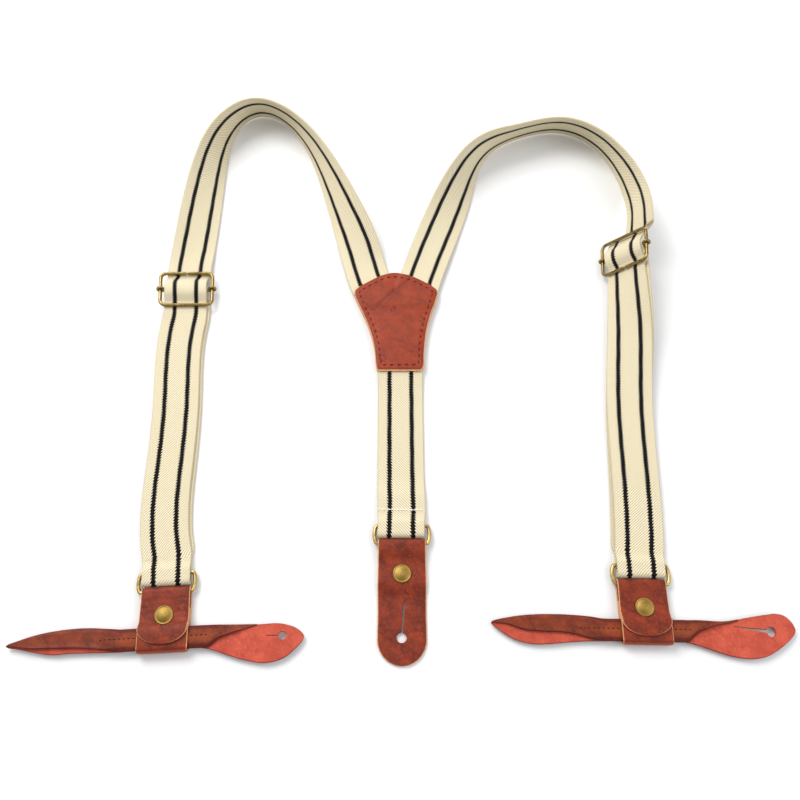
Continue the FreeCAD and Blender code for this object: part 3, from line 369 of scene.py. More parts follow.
def lathe(name, S, origin, profile, mat, seg=72):
    """profile of (radius, height) turned about local Z at origin."""
    prof = np.array(profile, float)
    m = len(prof)
    th = np.linspace(0, 2 * math.pi, seg, endpoint=False)
    X = prof[:, 0][:, None] * np.cos(th)[None, :]
    Y = prof[:, 0][:, None] * np.sin(th)[None, :]
    Z = np.broadcast_to(prof[:, 1][:, None], X.shape)
    L = np.stack([X, Y, Z], 2).reshape(-1, 3) + np.asarray(origin, float)
    faces = []
    for i in range(m - 1):
        for j in range(seg):
            jj = (j + 1) % seg
            faces.append((i * seg + j, i * seg + jj, (i + 1) * seg + jj, (i + 1) * seg + j))
    faces.append(tuple(range(seg))[::-1])
    faces.append(tuple(range((m - 1) * seg, m * seg)))
    s = chord(prof)
    uv = np.stack([np.broadcast_to(th[None, :], X.shape), np.broadcast_to(s[:, None], X.shape)], 2).reshape(-1, 2)
    return mesh_from(name, at(S, L), faces, mat, uv)


def cut(ob, cutters, mat=None):
    """takes closed cutter meshes out of ob."""
    for c in cutters:
        md = ob.modifiers.new("cut", "BOOLEAN")
        md.operation = "DIFFERENCE"
        md.solver = "EXACT"
        md.object = c
    dg = bpy.context.evaluated_depsgraph_get()
    me = bpy.data.meshes.new_from_object(ob.evaluated_get(dg), preserve_all_data_layers=True, depsgraph=dg)
    ob.modifiers.clear()
    old = ob.data
    ob.data = me
    bpy.data.meshes.remove(old)
    me.name = ob.name
    for c in cutters:
        bpy.data.objects.remove(c, do_unlink=True)
    return ob


def prism(name, S, outline, z0, z1, mat):
    n = len(outline)
    L = [(x, y, z0) for x, y in outline] + [(x, y, z1) for x, y in outline]
    faces = [tuple(range(n))[::-1], tuple(range(n, 2 * n))]
    faces += [(i, (i + 1) % n, n + (i + 1) % n, n + i) for i in range(n)]
    return mesh_from(name, at(S, L), faces, mat, uv=[(p[0], p[1]) for p in L], attrs={"edge": [1.0] * (2 * n), "under": [0.5] * (2 * n)}, smooth_shade=False)


def keyhole(cx, cy, r, slit, w, w_hole=None):
    """one outline: round hole with a slit running away from it."""
    w_hole = w if w_hole is None else w_hole
    dx, dy = slit[0] - cx, slit[1] - cy
    d = math.hypot(dx, dy)
    a0 = math.atan2(dy, dx)
    gap = math.asin(w_hole / 2 / r)
    pts = [(cx + r * math.cos(a0 + a), cy + r * math.sin(a0 + a)) for a in np.linspace(gap, 2 * math.pi - gap, 40)]
    nx, ny = -dy / d, dx / d
    tip = [(slit[0] - nx * w / 2 * f, slit[1] - ny * w / 2 * f) for f in (1.0,)] + [(slit[0] + dx / d * w / 2, slit[1] + dy / d * w / 2)] + [(slit[0] + nx * w / 2, slit[1] + ny * w / 2)]
    return pts + tip


# --------------------------------------------------------------- materials
def srgb(r, g, b):
    f = lambda c: c / 12.92 if c <= 0.04045 else ((c + 0.055) / 1.055) ** 2.4
    return (f(r / 255.0), f(g / 255.0), f(b / 255.0), 1.0)


class Nodes:
    def __init__(self, name):
        self.mat = bpy.data.materials.new(name)
        self.mat.use_nodes = True
        self.t = self.mat.node_tree
        self.t.nodes.clear()
        self.out = self.t.nodes.new("ShaderNodeOutputMaterial")
        self.b = self.t.nodes.new("ShaderNodeBsdfPrincipled")
        self.t.links.new(self.b.outputs["BSDF"], self.out.inputs["Surface"])

    def put(self, node, key, val):
        if val is None:
            return
        if isinstance(val, bpy.types.NodeSocket):
            self.t.links.new(val, node.inputs[key])
        else:
            node.inputs[key].default_value = val

    def math(self, op, a, b=None, c=None, clamp=False):
        n = self.t.nodes.new("ShaderNodeMath")
        n.operation = op
        n.use_clamp = clamp
        self.put(n, 0, a)
        self.put(n, 1, b)
        self.put(n, 2, c)
        return n.outputs[0]

    def mix(self, f, a, b, mode="MIX"):
        n = self.t.nodes.new("ShaderNodeMix")
        n.data_type = "RGBA"
        n.blend_type = mode
        self.put(n, 0, f)
        self.put(n, 6, a)
        self.put(n, 7, b)
        return n.outputs[2]

    def uv(self):
        n = self.t.nodes.new("ShaderNodeUVMap")
        n.uv_map = "UVMap"
        sp = self.t.nodes.new("ShaderNodeSeparateXYZ")
        self.t.links.new(n.outputs[0], sp.inputs[0])
        return n.outputs[0], sp.outputs[0], sp.outputs[1]

    def attr(self, name):
        n = self.t.nodes.new("ShaderNodeAttribute")
        n.attribute_name = name
        return n.outputs["Fac"]

    def combine(self, x, y, z=0.0):
        n = self.t.nodes.new("ShaderNodeCombineXYZ")
        self.put(n, 0, x)
        self.put(n, 1, y)
        self.put(n, 2, z)
        return n.outputs[0]

    def noise(self, vec, scale, detail=3.0, rough=0.55, distort=0.0):
        n = self.t.nodes.new("ShaderNodeTexNoise")
        self.put(n, "Vector", vec)
        self.put(n, "Scale", scale)
        self.put(n, "Detail", detail)
        self.put(n, "Roughness", rough)
        self.put(n, "Distortion", distort)
        return n.outputs[0]

    def voronoi(self, vec, scale, feature="DISTANCE_TO_EDGE"):
        n = self.t.nodes.new("ShaderNodeTexVoronoi")
        n.feature = feature
        self.put(n, "Vector", vec)
        self.put(n, "Scale", scale)
        return n.outputs[0]

    def step(self, v, a, b):
        """0 at a, 1 at b, smooth between."""
        n = self.t.nodes.new("ShaderNodeMapRange")
        n.interpolation_type = "SMOOTHSTEP"
        self.put(n, 0, v)
        self.put(n, 1, a)
        self.put(n, 2, b)
        return n.outputs[0]

    def bump(self, height, strength, dist):
        n = self.t.nodes.new("ShaderNodeBump")
        self.put(n, "Strength", strength)
        self.put(n, "Distance", dist)
        self.put(n, "Height", height)
        self.t.links.new(n.outputs[0], self.b.inputs["Normal"])


def webbing_material():
    m = Nodes("webbing")
    vec, u, v = m.uv()
    # twill: fine diagonal ridges cut into short floats
    d = m.math("MULTIPLY", m.math("SUBTRACT", u, v), 2 * math.pi / 1.45)
    ridge = m.math("MULTIPLY_ADD", m.math("SINE", d), 0.5, 0.5)
    c = m.math("MULTIPLY", m.math("ADD", m.math("MULTIPLY", u, 1.0), m.math("MULTIPLY", v, 0.35)), 2 * math.pi / 0.62)
    floats = m.math("MULTIPLY_ADD", m.math("SINE", c), 0.5, 0.5)
    warp = m.math("MULTIPLY_ADD", m.math("SINE", m.math("MULTIPLY", v, 2 * math.pi / 0.5)), 0.5, 0.5)
    weave = m.math("ADD", m.math("MULTIPLY", ridge, 0.62), m.math("ADD", m.math("MULTIPLY", floats, 0.22), m.math("MULTIPLY", warp, 0.16)))
    n1 = m.noise(vec, 0.06, 2.0)
    n2 = m.noise(vec, 1.6, 2.0)
    # two dark stripes with a toothed edge
    tooth = m.math("PINGPONG", m.math("SUBTRACT", v, m.math("MULTIPLY", u, 0.8)), 0.8)
    half = m.math("MULTIPLY_ADD", tooth, 1.15, 0.76)
    d1 = m.math("ABSOLUTE", m.math("SUBTRACT", u, 6.4))
    d2 = m.math("ABSOLUTE", m.math("SUBTRACT", u, 18.6))
    dd = m.math("SUBTRACT", m.math("MINIMUM", d1, d2), half)
    dd = m.math("ADD", dd, m.math("MULTIPLY", m.math("SUBTRACT", ridge, 0.5), 0.16))
    stripe = m.math("SUBTRACT", 1.0, m.step(dd, -0.07, 0.07))
    cream = m.mix(m.math("MULTIPLY", weave, 1.0), srgb(196, 182, 146), srgb(244, 236, 210))
    cream = m.mix(m.math("MULTIPLY", m.step(n1, 0.35, 0.75), 0.3), cream, srgb(228, 215, 180))
    cream = m.mix(m.math("MULTIPLY", m.math("SUBTRACT", 1.0, ridge), 0.55), cream, srgb(176, 158, 120))
    # selvedge
    eu = m.math("MINIMUM", u, m.math("SUBTRACT", 25.0, u))
    selv = m.math("SUBTRACT", 1.0, m.step(eu, 0.35, 0.8))
    rib = m.math("MULTIPLY_ADD", m.math("SINE", m.math("MULTIPLY", v, 2 * math.pi / 0.78)), 0.5, 0.5)
    cream = m.mix(m.math("MULTIPLY", selv, 0.55), cream, m.mix(rib, srgb(192, 176, 138), srgb(236, 226, 198)))
    edge = m.attr("edge")
    cream = m.mix(m.math("MULTIPLY", m.step(edge, 0.4, 1.0), 0.7), cream, m.mix(rib, srgb(174, 158, 122), srgb(220, 208, 178)))
    dark = m.mix(weave, srgb(4, 2, 4), srgb(14, 10, 13))
    col = m.mix(stripe, cream, dark)
    m.put(m.b, "Base Color", col)
    m.put(m.b, "Roughness", 0.82)
    m.put(m.b, "Specular IOR Level", 0.15)
    m.put(m.b, "Sheen Weight", 0.04)
    m.put(m.b, "Sheen Roughness", 0.5)
    h = m.math("ADD", m.mix(selv, weave, rib), m.math("MULTIPLY", n2, 0.35))
    m.bump(h, 0.7, 0.00026)
    return m.mat


def leather_material(name, base, dark, light, edge_col, under_col, rough=0.42, crease=0.5, spec=0.5):
    m = Nodes(name)
    vec, u, v = m.uv()
    n_big = m.noise(vec, 0.11, 3.0, 0.6)
    n_mid = m.noise(vec, 0.7, 3.0, 0.6)
    grain = m.voronoi(vec, 2.4)
    fine = m.noise(vec, 7.0, 2.0, 0.6)
    col = m.mix(m.step(n_big, 0.3, 0.72), dark, base)
    col = m.mix(m.math("MULTIPLY", m.step(n_mid, 0.5, 0.8), 0.45), col, light)
    # creases: thin lines where a stretched noise crosses its middle; they are sunk by the bump and darkened in colour,
    # which is painted shade in the creases
    rot = m.combine(m.math("ADD", m.math("MULTIPLY", u, 0.22), m.math("MULTIPLY", v, 0.22)),
                    m.math("MULTIPLY", m.math("SUBTRACT", v, u), 0.055))
    cn = m.noise(rot, 1.0, 3.0, 0.6, 0.4)
    line = m.math("SUBTRACT", 1.0, m.step(m.math("ABSOLUTE", m.math("SUBTRACT", cn, 0.5)), 0.004, 0.03))
    gate = m.step(m.noise(vec, 0.09, 1.0), 0.5, 0.62)
    line = m.math("MULTIPLY", m.math("MULTIPLY", line, gate), crease)
    # crease lines mixed towards near-black: painted shade in the creases
    col = m.mix(line, col, m.mix(0.5, dark, (0.008, 0.002, 0.001, 1.0)))
    edge, under = m.attr("edge"), m.attr("under")
    # colour on the cut edges: on the tab and yoke leathers the light tan is the raw edge with random wear; on the lip
    # and ear leathers the dark edge colour is painted shade along their edges
    edge_wear_and_shade = m.math("MULTIPLY", m.step(edge, 0.15, 0.95), m.math("MULTIPLY_ADD", m.step(n_mid, 0.35, 0.7), 0.35, 0.6))
    col = m.mix(edge_wear_and_shade, col, edge_col)
    col = m.mix(m.step(under, 0.7, 0.95), col, m.mix(n_mid, under_col, (under_col[0] * 0.6, under_col[1] * 0.6, under_col[2] * 0.6, 1.0)))
    # mix towards the light colour is a painted highlight on rounded folds and roll crowns; mix towards near-black is
    # painted shade in folds, creases and along lip edges
    band, painted_shade = m.attr("band"), m.attr("painted_shade")
    col = m.mix(m.math("MULTIPLY", band, 0.6), col, light)
    col = m.mix(m.math("MULTIPLY", painted_shade, 0.62), col, m.mix(0.35, dark, (0.006, 0.002, 0.001, 1.0)))
    m.put(m.b, "Base Color", col)
    rg = m.math("MULTIPLY_ADD", n_mid, 0.18, rough - 0.09)
    m.put(m.b, "Roughness", m.math("ADD", rg, m.math("MULTIPLY", edge_wear_and_shade, 0.25)))
    m.put(m.b, "Specular IOR Level", spec)
    h = m.math("ADD", m.math("MULTIPLY", m.step(grain, 0.0, 0.25), 0.5), m.math("ADD", m.math("MULTIPLY", fine, 0.25), m.math("MULTIPLY", n_mid, 0.6)))
    h = m.math("SUBTRACT", h, m.math("MULTIPLY", line, 1.6))
    m.bump(h, 0.35, 0.00018)
    return m.mat


def metal_material(name, col_a, col_b, rough, patina=None, amount=0.0):
    m = Nodes(name)
    vec, u, v = m.uv()
    n1 = m.noise(vec, 0.5, 3.0)
    n2 = m.noise(vec, 3.0, 2.0)
    col = m.mix(m.step(n1, 0.3, 0.75), col_a, col_b)
    if patina is not None:
        col = m.mix(m.math("MULTIPLY", m.step(n2, 0.45, 0.75), amount), col, patina)
    m.put(m.b, "Base Color", col)
    m.put(m.b, "Metallic", 1.0)
    m.put(m.b, "Roughness", m.math("MULTIPLY_ADD", n1, 0.22, rough - 0.1))
    m.bump(m.math("ADD", m.math("MULTIPLY", n1, 0.6), m.math("MULTIPLY", n2, 0.4)), 0.25, 0.00012)
    return m.mat


def thread_material(name, a, b):
    m = Nodes(name)
    vec, u, v = m.uv()
    tw = m.math("MULTIPLY_ADD", m.math("SINE", m.math("ADD", m.math("MULTIPLY", v, 2 * math.pi / 0.55), m.math("MULTIPLY", u, 2.0))), 0.5, 0.5)
    m.put(m.b, "Base Color", m.mix(tw, a, b))
    m.put(m.b, "Roughness", 0.8)
    m.put(m.b, "Specular IOR Level", 0.12)
    m.bump(tw, 0.5, 0.0001)
    return m.mat


WEB = webbing_material()
LEATHER = leather_material("leather", srgb(138, 48, 17), srgb(96, 28, 10), srgb(172, 78, 32), srgb(222, 168, 118), srgb(140, 64, 34), rough=0.46, crease=0.8, spec=0.24)
YOKE_LEATHER = leather_material("leather_yoke", srgb(148, 51, 14), srgb(124, 39, 12), srgb(172, 74, 28), srgb(224, 182, 136), srgb(146, 66, 38), rough=0.46, crease=1.0, spec=0.26)
# the dark edge colours of the lip and ear leathers below are painted shade along their edges
EAR_LEATHER = leather_material("leather_ear", srgb(132, 52, 20), srgb(92, 30, 14), srgb(166, 80, 34), srgb(86, 26, 18), srgb(136, 52, 34), rough=0.48, crease=0.7, spec=0.22)
FLESH = leather_material("leather_flesh_side", srgb(198, 86, 64), srgb(172, 66, 50), srgb(216, 126, 98), srgb(110, 32, 26), srgb(128, 48, 26), rough=0.68, crease=0.25, spec=0.2)
BRASS = metal_material("brass", srgb(172, 146, 88), srgb(206, 180, 118), 0.30, srgb(104, 78, 38), 0.4)
RIVET = metal_material("rivet_brass", srgb(144, 116, 58), srgb(174, 145, 80), 0.52, srgb(104, 80, 38), 0.4)
ANTIQUE = metal_material("antique_brass", srgb(124, 104, 58), srgb(172, 148, 92), 0.30, srgb(58, 44, 22), 0.6)
DARK_THREAD = thread_material("dark_thread", srgb(34, 12, 10), srgb(66, 26, 18))
YOKE_THREAD = thread_material("yoke_thread", srgb(78, 18, 6), srgb(116, 36, 14))
LIGHT_THREAD = thread_material("light_thread", srgb(232, 224, 212), srgb(252, 250, 244))


# ----------------------------------------------------------------- webbing
def join_path(parts, step=0.55):
    """joins (C, E) runs end to end and resamples them evenly."""
    C = np.concatenate([p[0] for p in parts])
    E = np.concatenate([p[1] for p in parts])
    keep = [0]
    for i in range(1, len(C)):
        if np.linalg.norm(C[i] - C[keep[-1]]) > 0.12:
            keep.append(i)
    C, E = C[keep], E[keep]
    s = chord(C)
    q = np.linspace(0, s[-1], int(s[-1] / step) + 1)
    D = hermite(s, np.concatenate([C, E], 1), q)
    C2, E2 = D[:, :3], D[:, 3:]
    E2 = E2 / np.linalg.norm(E2, axis=1)[:, None]
    return C2, E2


def web_lift(lat, s, sec):
    """thicker woven border and very slight cupping, so that the strap is not a flat plank."""
    a = np.abs(lat) / 12.5
    border = 0.05 * smooth(a, 0.90, 0.95) * sec[None, :, 2]
    ribs = 0.035 * np.cos(s * 2 * math.pi / 0.78) * smooth(a, 0.93, 0.97) * np.where(sec[None, :, 3] > 0, 1.0, 0.6) * sec[None, :, 2]
    wave = 0.05 * np.sin(s / 17.0) * (1 - a ** 2)
    return border + ribs + wave


def neck(s, spots, w=12.5, n=12.1, reach=7.0):
    hw = np.full(len(s), w)
    for c, flat in spots:
        d = np.maximum(0.0, np.abs(s - c) - flat)
        hw = np.minimum(hw, n + (w - n) * smooth(d, 0.0, reach))
    return hw


HUMP = [(-10.95, 1.72), (-9.1, 1.7), (-7.8, 1.78), (-5.5, 3.2), (-3.4, 4.65), (-1.6, 5.2), (0.0, 5.32), (1.6, 5.2), (3.4, 4.65), (5.5, 3.2), (7.8, 1.78), (9.1, 1.7)]
WEBS = {}
for side, sgn in (("left", -1), ("right", 1)):
    S = SLIDER[side]
    C1, E1 = band_path(side + "_shoulder")
    up = [(y, z + WEB_T / 2) for y, z in HUMP][::-1]
    if side == "left":
        xs = lambda y: -0.4 + 1.5 * float(smooth(y, 6.0, 10.5))
        pts = [(xs(y), y, z) for y, z in up]
    else:
        xs = lambda y: -0.1 + 0.6 * float(smooth(-y, 4.0, 10.0)) + 2.6 * float(smooth(y, 7.0, 16.0))
        pts = [(xs(12.4), 12.4, 0.65), (xs(10.6), 10.6, 1.9)] + [(xs(y), y, z) for y, z in up[1:]]
    C2, E2 = local_path(S, pts, sgn)
    C, E = join_path([(C1, E1), (C2, E2)])
    if side == "right":
        C, E = join_path([(C[::4], E[::4]), (C[-1:], E[-1:])])
    s = chord(C)
    L = s[-1]
    ob = slab(side + "_shoulder_webbing", C, E, neck(s, [(L - 10.95, 9.0)]), WEB_T, 0.62, WEB, nu=44, na=5, full=25.0, lift=web_lift)
    WEBS[side + "_shoulder"] = (ob, L)

    # front strap down to the wire loop, round its bar and back up to the movable bar
    R = RING[side]
    sh = -0.4 if side == "left" else -0.1
    fx = -0.55 if side == "left" else 0.55
    start = [(sh if side == "left" else 0.5, -10.95, 1.72 + WEB_T / 2 - 0.02)]
    C1, E1 = local_path(S, start, sgn)
    C2, E2 = band_path(side + "_front")
    lift, mid_r = 2.65, 1.0 + 0.1 + WEB_T / 2
    fold = [(12.6, 2.70), (11.2, 2.95), (9.4, 3.80), (7.7, 4.50), (6.2, 4.55), (4.2, 4.50)]
    fold += [(2.3 + mid_r * math.cos(math.radians(a)), lift + mid_r * math.sin(math.radians(a))) for a in np.linspace(90, 270, 15)]
    fold += [(4.6, 0.82), (8.5, 0.82), (12.6, 0.82)]
    x_end = float(((C2[-1] - R[0]) @ R[1])[0])
    C3, E3 = local_path(R, [(x_end + (fx - x_end) * float(smooth(12.6 - y, -3, 9)), y, z) for y, z in fold], sgn)
    C4, E4 = band_path(side + "_return")
    bar_z, loop_r = 2.59, 0.75 + 0.08 + WEB_T / 2
    lx = -0.3 if side == "left" else 0.4
    loop = [(-3.6, 0.86), (-1.8, 0.96)]
    loop += [(loop_r * math.cos(math.radians(a)), bar_z + loop_r * math.sin(math.radians(a))) for a in np.linspace(-90, 90, 11)]
    loop += [(-1.5, 3.78), (-3.2, 2.95), (-5.3, 2.36)]
    C5, E5 = local_path(S, [(lx, y, z) for y, z in loop], sgn)
    n2 = len(C2)
    C, E = join_path([(C1, E1), (C2[1:], E2[1:]), (C3, E3), (C4[::-1][1:], E4[::-1][1:]), (C5, E5)])
    s = chord(C)
    L = s[-1]
    ring_s = s[int(np.argmin(np.linalg.norm(C - at(R, (fx, 0.45, 2.65)), axis=1)))]
    ob = slab(side + "_front_webbing", C, E, neck(s, [(0.0, 3.0), (ring_s, 9.0), (L, 14.0)]), WEB_T, 0.62, WEB, nu=44, na=5, v0=0.0, full=25.0,
              flip_u=(side == "right"), lift=web_lift)
    WEBS[side + "_front"] = (ob, L)

# back strap: yoke, down to the wire loop, round its bar and sewn to itself
C1, E1 = band_path("back")
fold = [(12.6, 2.70), (11.2, 2.95), (9.4, 3.80), (7.7, 4.50), (6.2, 4.55), (4.2, 4.50)]
fold += [(2.3 + 1.85 * math.cos(math.radians(a)), 2.65 + 1.85 * math.sin(math.radians(a))) for a in np.linspace(90, 270, 15)]
fold += [(4.6, 0.82), (8.5, 0.81), (14.0, 0.81), (21.3, 0.81)]
x_end = float(C1[-1][0] - RING["back"][0][0])
C2, E2 = local_path(RING["back"], [(x_end + (-0.45 - x_end) * float(smooth(12.6 - y, -3, 9)), y, z) for y, z in fold], -1)
C, E = join_path([(C1, E1), (C2, E2)])
s = chord(C)
L = s[-1]
ring_s = s[int(np.argmin(np.linalg.norm(C - at(RING["back"], (0.0, 0.45, 2.65)), axis=1)))]
ob = slab("back_webbing", C, E, neck(s, [(ring_s, 8.0)]), WEB_T, 0.62, WEB, nu=44, na=5, flip_u=True, full=25.0, lift=web_lift)
WEBS["back"] = (ob, L)


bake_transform(WEBS["left_shoulder"][0])
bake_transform(WEBS["right_shoulder"][0])
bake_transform(WEBS["left_front"][0])
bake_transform(WEBS["right_front"][0])
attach(WEBS["back"][0], "root")
for side in ("left", "right"):
    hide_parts(side + "_shoulder_strap", side + "_slider_webbing")
    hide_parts(side + "_front_strap", side + "_return_strap", side + "_strap_ring_fold", side + "_strap_sewn_end")
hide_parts("back_strap", "back_strap_ring_fold")


# ---------------------------------------------------------------- wire work
def rounded_rect(w, h, r, n=8, split=None):
    """centre line of a rounded rectangle; with split it starts and ends at a gap in the top side."""
    x, y = w / 2, h / 2
    pts = []
    def line(a, b, k):
        for q in np.linspace(0, 1, k, endpoint=False):
            pts.append((a[0] + (b[0] - a[0]) * q, a[1] + (b[1] - a[1]) * q))
    def arc(cx, cy, a0, a1):
        for a in np.radians(np.linspace(a0, a1, n, endpoint=False)):
            pts.append((cx + r * math.cos(a), cy + r * math.sin(a)))
    g = 0.0 if split is None else split / 2
    line((g, y), (x - r, y), 10)
    arc(x - r, y - r, 90, 0)
    line((x, y - r), (x, -y + r), 12)
    arc(x - r, -y + r, 0, -90)
    line((x - r, -y), (-x + r, -y), 20)
    arc(-x + r, -y + r, -90, -180)
    line((-x, -y + r), (-x, y - r), 12)
    arc(-x + r, y - r, 180, 90)
    line((-x + r, y), (-g, y), 10)
    if split is not None:
        pts.append((-g, y))
    return np.array(pts)


for side in ("left", "right"):
    S = SLIDER[side]
    P = rounded_rect(29.7, 21.9, 3.2, 9, split=2.2)
    if side == "right":
        P = -P
    z = 4.4 + 0.06 * np.sin(P[:, 0] / 6.0)
    bow = 0.12 * np.sin(P[:, 1] / 7.0 + 0.5) * (np.abs(P[:, 0]) / 14.85) * np.sign(P[:, 0])
    L3 = np.stack([P[:, 0] + bow, P[:, 1], z], 1)
    ob = tube(side + "_slider_wire", at(S, L3), 1.0, ANTIQUE, seg=24, normal=S[1] @ np.array([0, 0, 1.0]))
    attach(ob, side + "_frame"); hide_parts(side + "_slider_frame")

    er = 1.81
    eye = [(-14.85 + er * math.sin(a) * -1 * -1, 4.4 - er * math.cos(a)) for a in np.radians(np.linspace(-300, 0, 26))]
    rod = [(x, 2.59) for x in np.linspace(-14.0, 14.0, 30)]
    eye2 = [(14.85 + er * math.sin(a), 4.4 - er * math.cos(a)) for a in np.radians(np.linspace(0, 300, 26))]
    P = np.array(eye + rod + eye2)
    L3 = np.stack([P[:, 0], np.concatenate([np.linspace(0.5, 0.0, 26) * 0, np.zeros(30), np.zeros(26)]), P[:, 1]], 1)
    ob = tube(side + "_movable_bar", at(S, L3), 0.75, ANTIQUE, seg=18, normal=S[1] @ np.array([0, 1.0, 0]))
    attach(ob, side + "_adjuster"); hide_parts(side + "_slider_bar")

for side, dx in (("left", -0.35), ("right", 0.35), ("back", 0.0)):
    bow = [(12.6 + 1.55 * math.cos(t), 4.65 * math.sin(t)) for t in np.linspace(math.pi / 2, -math.pi / 2, 25)]
    P = [(x, 4.65) for x in np.linspace(-12.2, 12.2, 24)] + bow + [(x, -4.65) for x in np.linspace(12.2, -12.2, 24)] + [(-x, -y) for x, y in bow]
    P = np.array(P)
    L3 = np.stack([P[:, 0] + dx, P[:, 1] + 1.55, np.full(len(P), 2.65)], 1)
    ob = tube(side + "_wire_loop", at(RING[side], L3), 1.0, BRASS, closed=True, seg=24)
    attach(ob, side + "_loop"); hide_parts(side + "_ring")


# -------------------------------------------------------------------- rivets
def rivet(side, y, seat):
    S = RING[side]
    r, rise, rim = 4.65, 1.25, 0.44
    q = r - 0.85
    k = rise - rim
    R = (q * q + k * k) / (2 * k)
    prof = [(0.2, -0.05), (r - 0.25, -0.05), (r - 0.05, 0.04), (r, 0.2), (r - 0.03, 0.38), (r - 0.14, 0.53), (r - 0.32, 0.60), (r - 0.50, 0.58), (r - 0.66, 0.51)]
    for a in np.linspace(1, 0, 22):
        x = q * a
        prof.append((max(x, 0.02), rise - R + math.sqrt(R * R - x * x)))
    ob = lathe(side + "_rivet_dome", S, (0, y, seat), prof, RIVET)
    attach(ob, side + "_tab_body"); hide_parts(side + "_rivet_cap")
    prof = [(0.02, 0.05), (2.7, 0.05), (3.0, 0.12), (3.0, 0.2), (2.7, 0.26), (1.2, 0.28), (1.2, seat - 0.1), (0.02, seat - 0.1)]
    ob = lathe(side + "_rivet_foot", S, (0, y, 0), prof, BRASS, seg=48)
    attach(ob, side + "_tab_body"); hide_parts(side + "_rivet_shank")


rivet("left", -15.0, 4.98)
rivet("right", -15.0, 4.98)
rivet("back", -18.7, 3.26)


# -------------------------------------------------------------- leather tabs
def dense(pts, step=0.45):
    P = np.array(pts, float)
    s = chord(P)
    q = np.linspace(0, s[-1], int(s[-1] / step) + 1)
    return hermite(s, P, q)


def tab_profile():
    low_r = 1.0 + 0.1 + LEA_T / 2
    top, bot = 2.65 + low_r, 2.65 - low_r
    path = [(-28.9, 6.95), (-27.6, 7.05), (-26.0, 7.06), (-23.4, 7.03), (-21.3, 6.72), (-19.9, 5.9), (-18.6, 4.95), (-17.2, 4.42), (-15.0, 4.25), (-11.0, 4.25), (-7.0, 4.33), (-5.0, top)]
    path += [(-3.1 + low_r * math.cos(math.radians(a)), 2.65 + low_r * math.sin(math.radians(a))) for a in np.linspace(90, -90, 13)]
    path += [(-5.0, bot), (-10.0, bot), (-16.0, bot), (-22.0, bot), (-28.0, bot), (-29.9, bot + 0.02), (-31.3, bot + 0.32), (-31.95, bot + 1.1),
             (-32.05, 3.0), (-32.0, 4.55), (-31.7, 5.2), (-31.05, 5.52), (-29.9, 5.6), (-28.2, 5.6), (-25.0, 5.6), (-22.9, 5.55), (-21.2, 5.0), (-19.4, 3.4), (-17.8, 2.55), (-15.6, 2.35), (-11.6, 2.35)]
    return path


def oval(s, s0, s1, w):
    """half width that closes as a half oval between s0 and s1 (s1 is the tip)."""
    q = np.clip((s - s0) / (s1 - s0), 0, 1)
    return w * np.sqrt(np.maximum(1 - q * q, 0.0004))


def tip_steps(a, b, n=26):
    """places from the tip a to b, closer together at the tip."""
    return [a + (b - a) * (1 - math.cos(t)) for t in np.linspace(0, math.pi / 2, n)]


def leather_tab(side, prof, tip_len, w, body, node, mat, cuts=None):
    S = RING[side]
    P = dense(prof, 0.45)
    s = chord(P)
    tip = tip_steps(0.0, tip_len)
    q = np.array(tip + list(np.arange(tip[-1] + 0.4, s[-1], 0.45)) + [s[-1]])
    P = hermite(s, P, q)
    C = at(S, np.stack([np.zeros(len(P)), P[:, 0], P[:, 1]], 1))
    E = np.tile(S[1] @ np.array([1.0, 0, 0]), (len(C), 1))
    hw = np.where(q < tip_len, oval(tip_len - q, 0, tip_len, w), w) + 0.10 * np.sin(q / 5.0) * smooth(q, 5, 20)
    def lift(lat, ss, sec):
        a = np.abs(lat) / w
        puck = 0.05 * np.sin(ss * 1.9 + 1.3 * np.sin(lat * 0.5)) * smooth(ss, 6, 12) * (1 - smooth(ss, 22, 30)) * (0.4 + 0.6 * a)
        pillow = -0.16 * smooth(a, 0.80, 1.0) * (sec[None, :, 2] > 0)
        return puck + pillow
    # lighter band on the rounded lower end of the fold: painted highlight
    def band(V, lat, sec):
        y, z = P[:, 0][:, None], P[:, 1][:, None]
        return smooth(-y, 31.2, 31.9) * smooth(z, 1.8, 2.6) + 0.0 * lat if side != "back" else 0.0 * lat
    # dark line where the flat top bends into the fold: painted shade in the crease
    def painted_shade(V, lat, sec):
        y, z = P[:, 0][:, None], P[:, 1][:, None]
        return (0.7 * np.exp(-((y + 31.2) / 0.3) ** 2) * smooth(z, 4.6, 5.0) if side != "back" else 0.0) + 0.0 * lat
    ob = slab(side + "_leather_tab", C, E, hw, LEA_T, 0.58, mat, nu=40, na=5, full=2 * w, lift=lift, end_round=0.45, extra={"band": band, "painted_shade": painted_shade})
    cuts = list(cuts or [])
    if side != "back":
        seat = at(S, (0.0, -15.0, 0.0))
        press = [(4.85 * math.cos(t), -15.0 + 4.85 * math.sin(t)) for t in np.linspace(0, 2 * math.pi, 64, endpoint=False)]
        pr = prism(side + "_tab_press", S, press, 4.93, 12, mat)
        cut(ob, [pr])
    if cuts:
        cut(ob, [prism(side + "_tab_cutter%d" % i, S, o, -2, 12, mat) for i, o in enumerate(cuts)])
    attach(ob, body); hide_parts(node)
    return ob


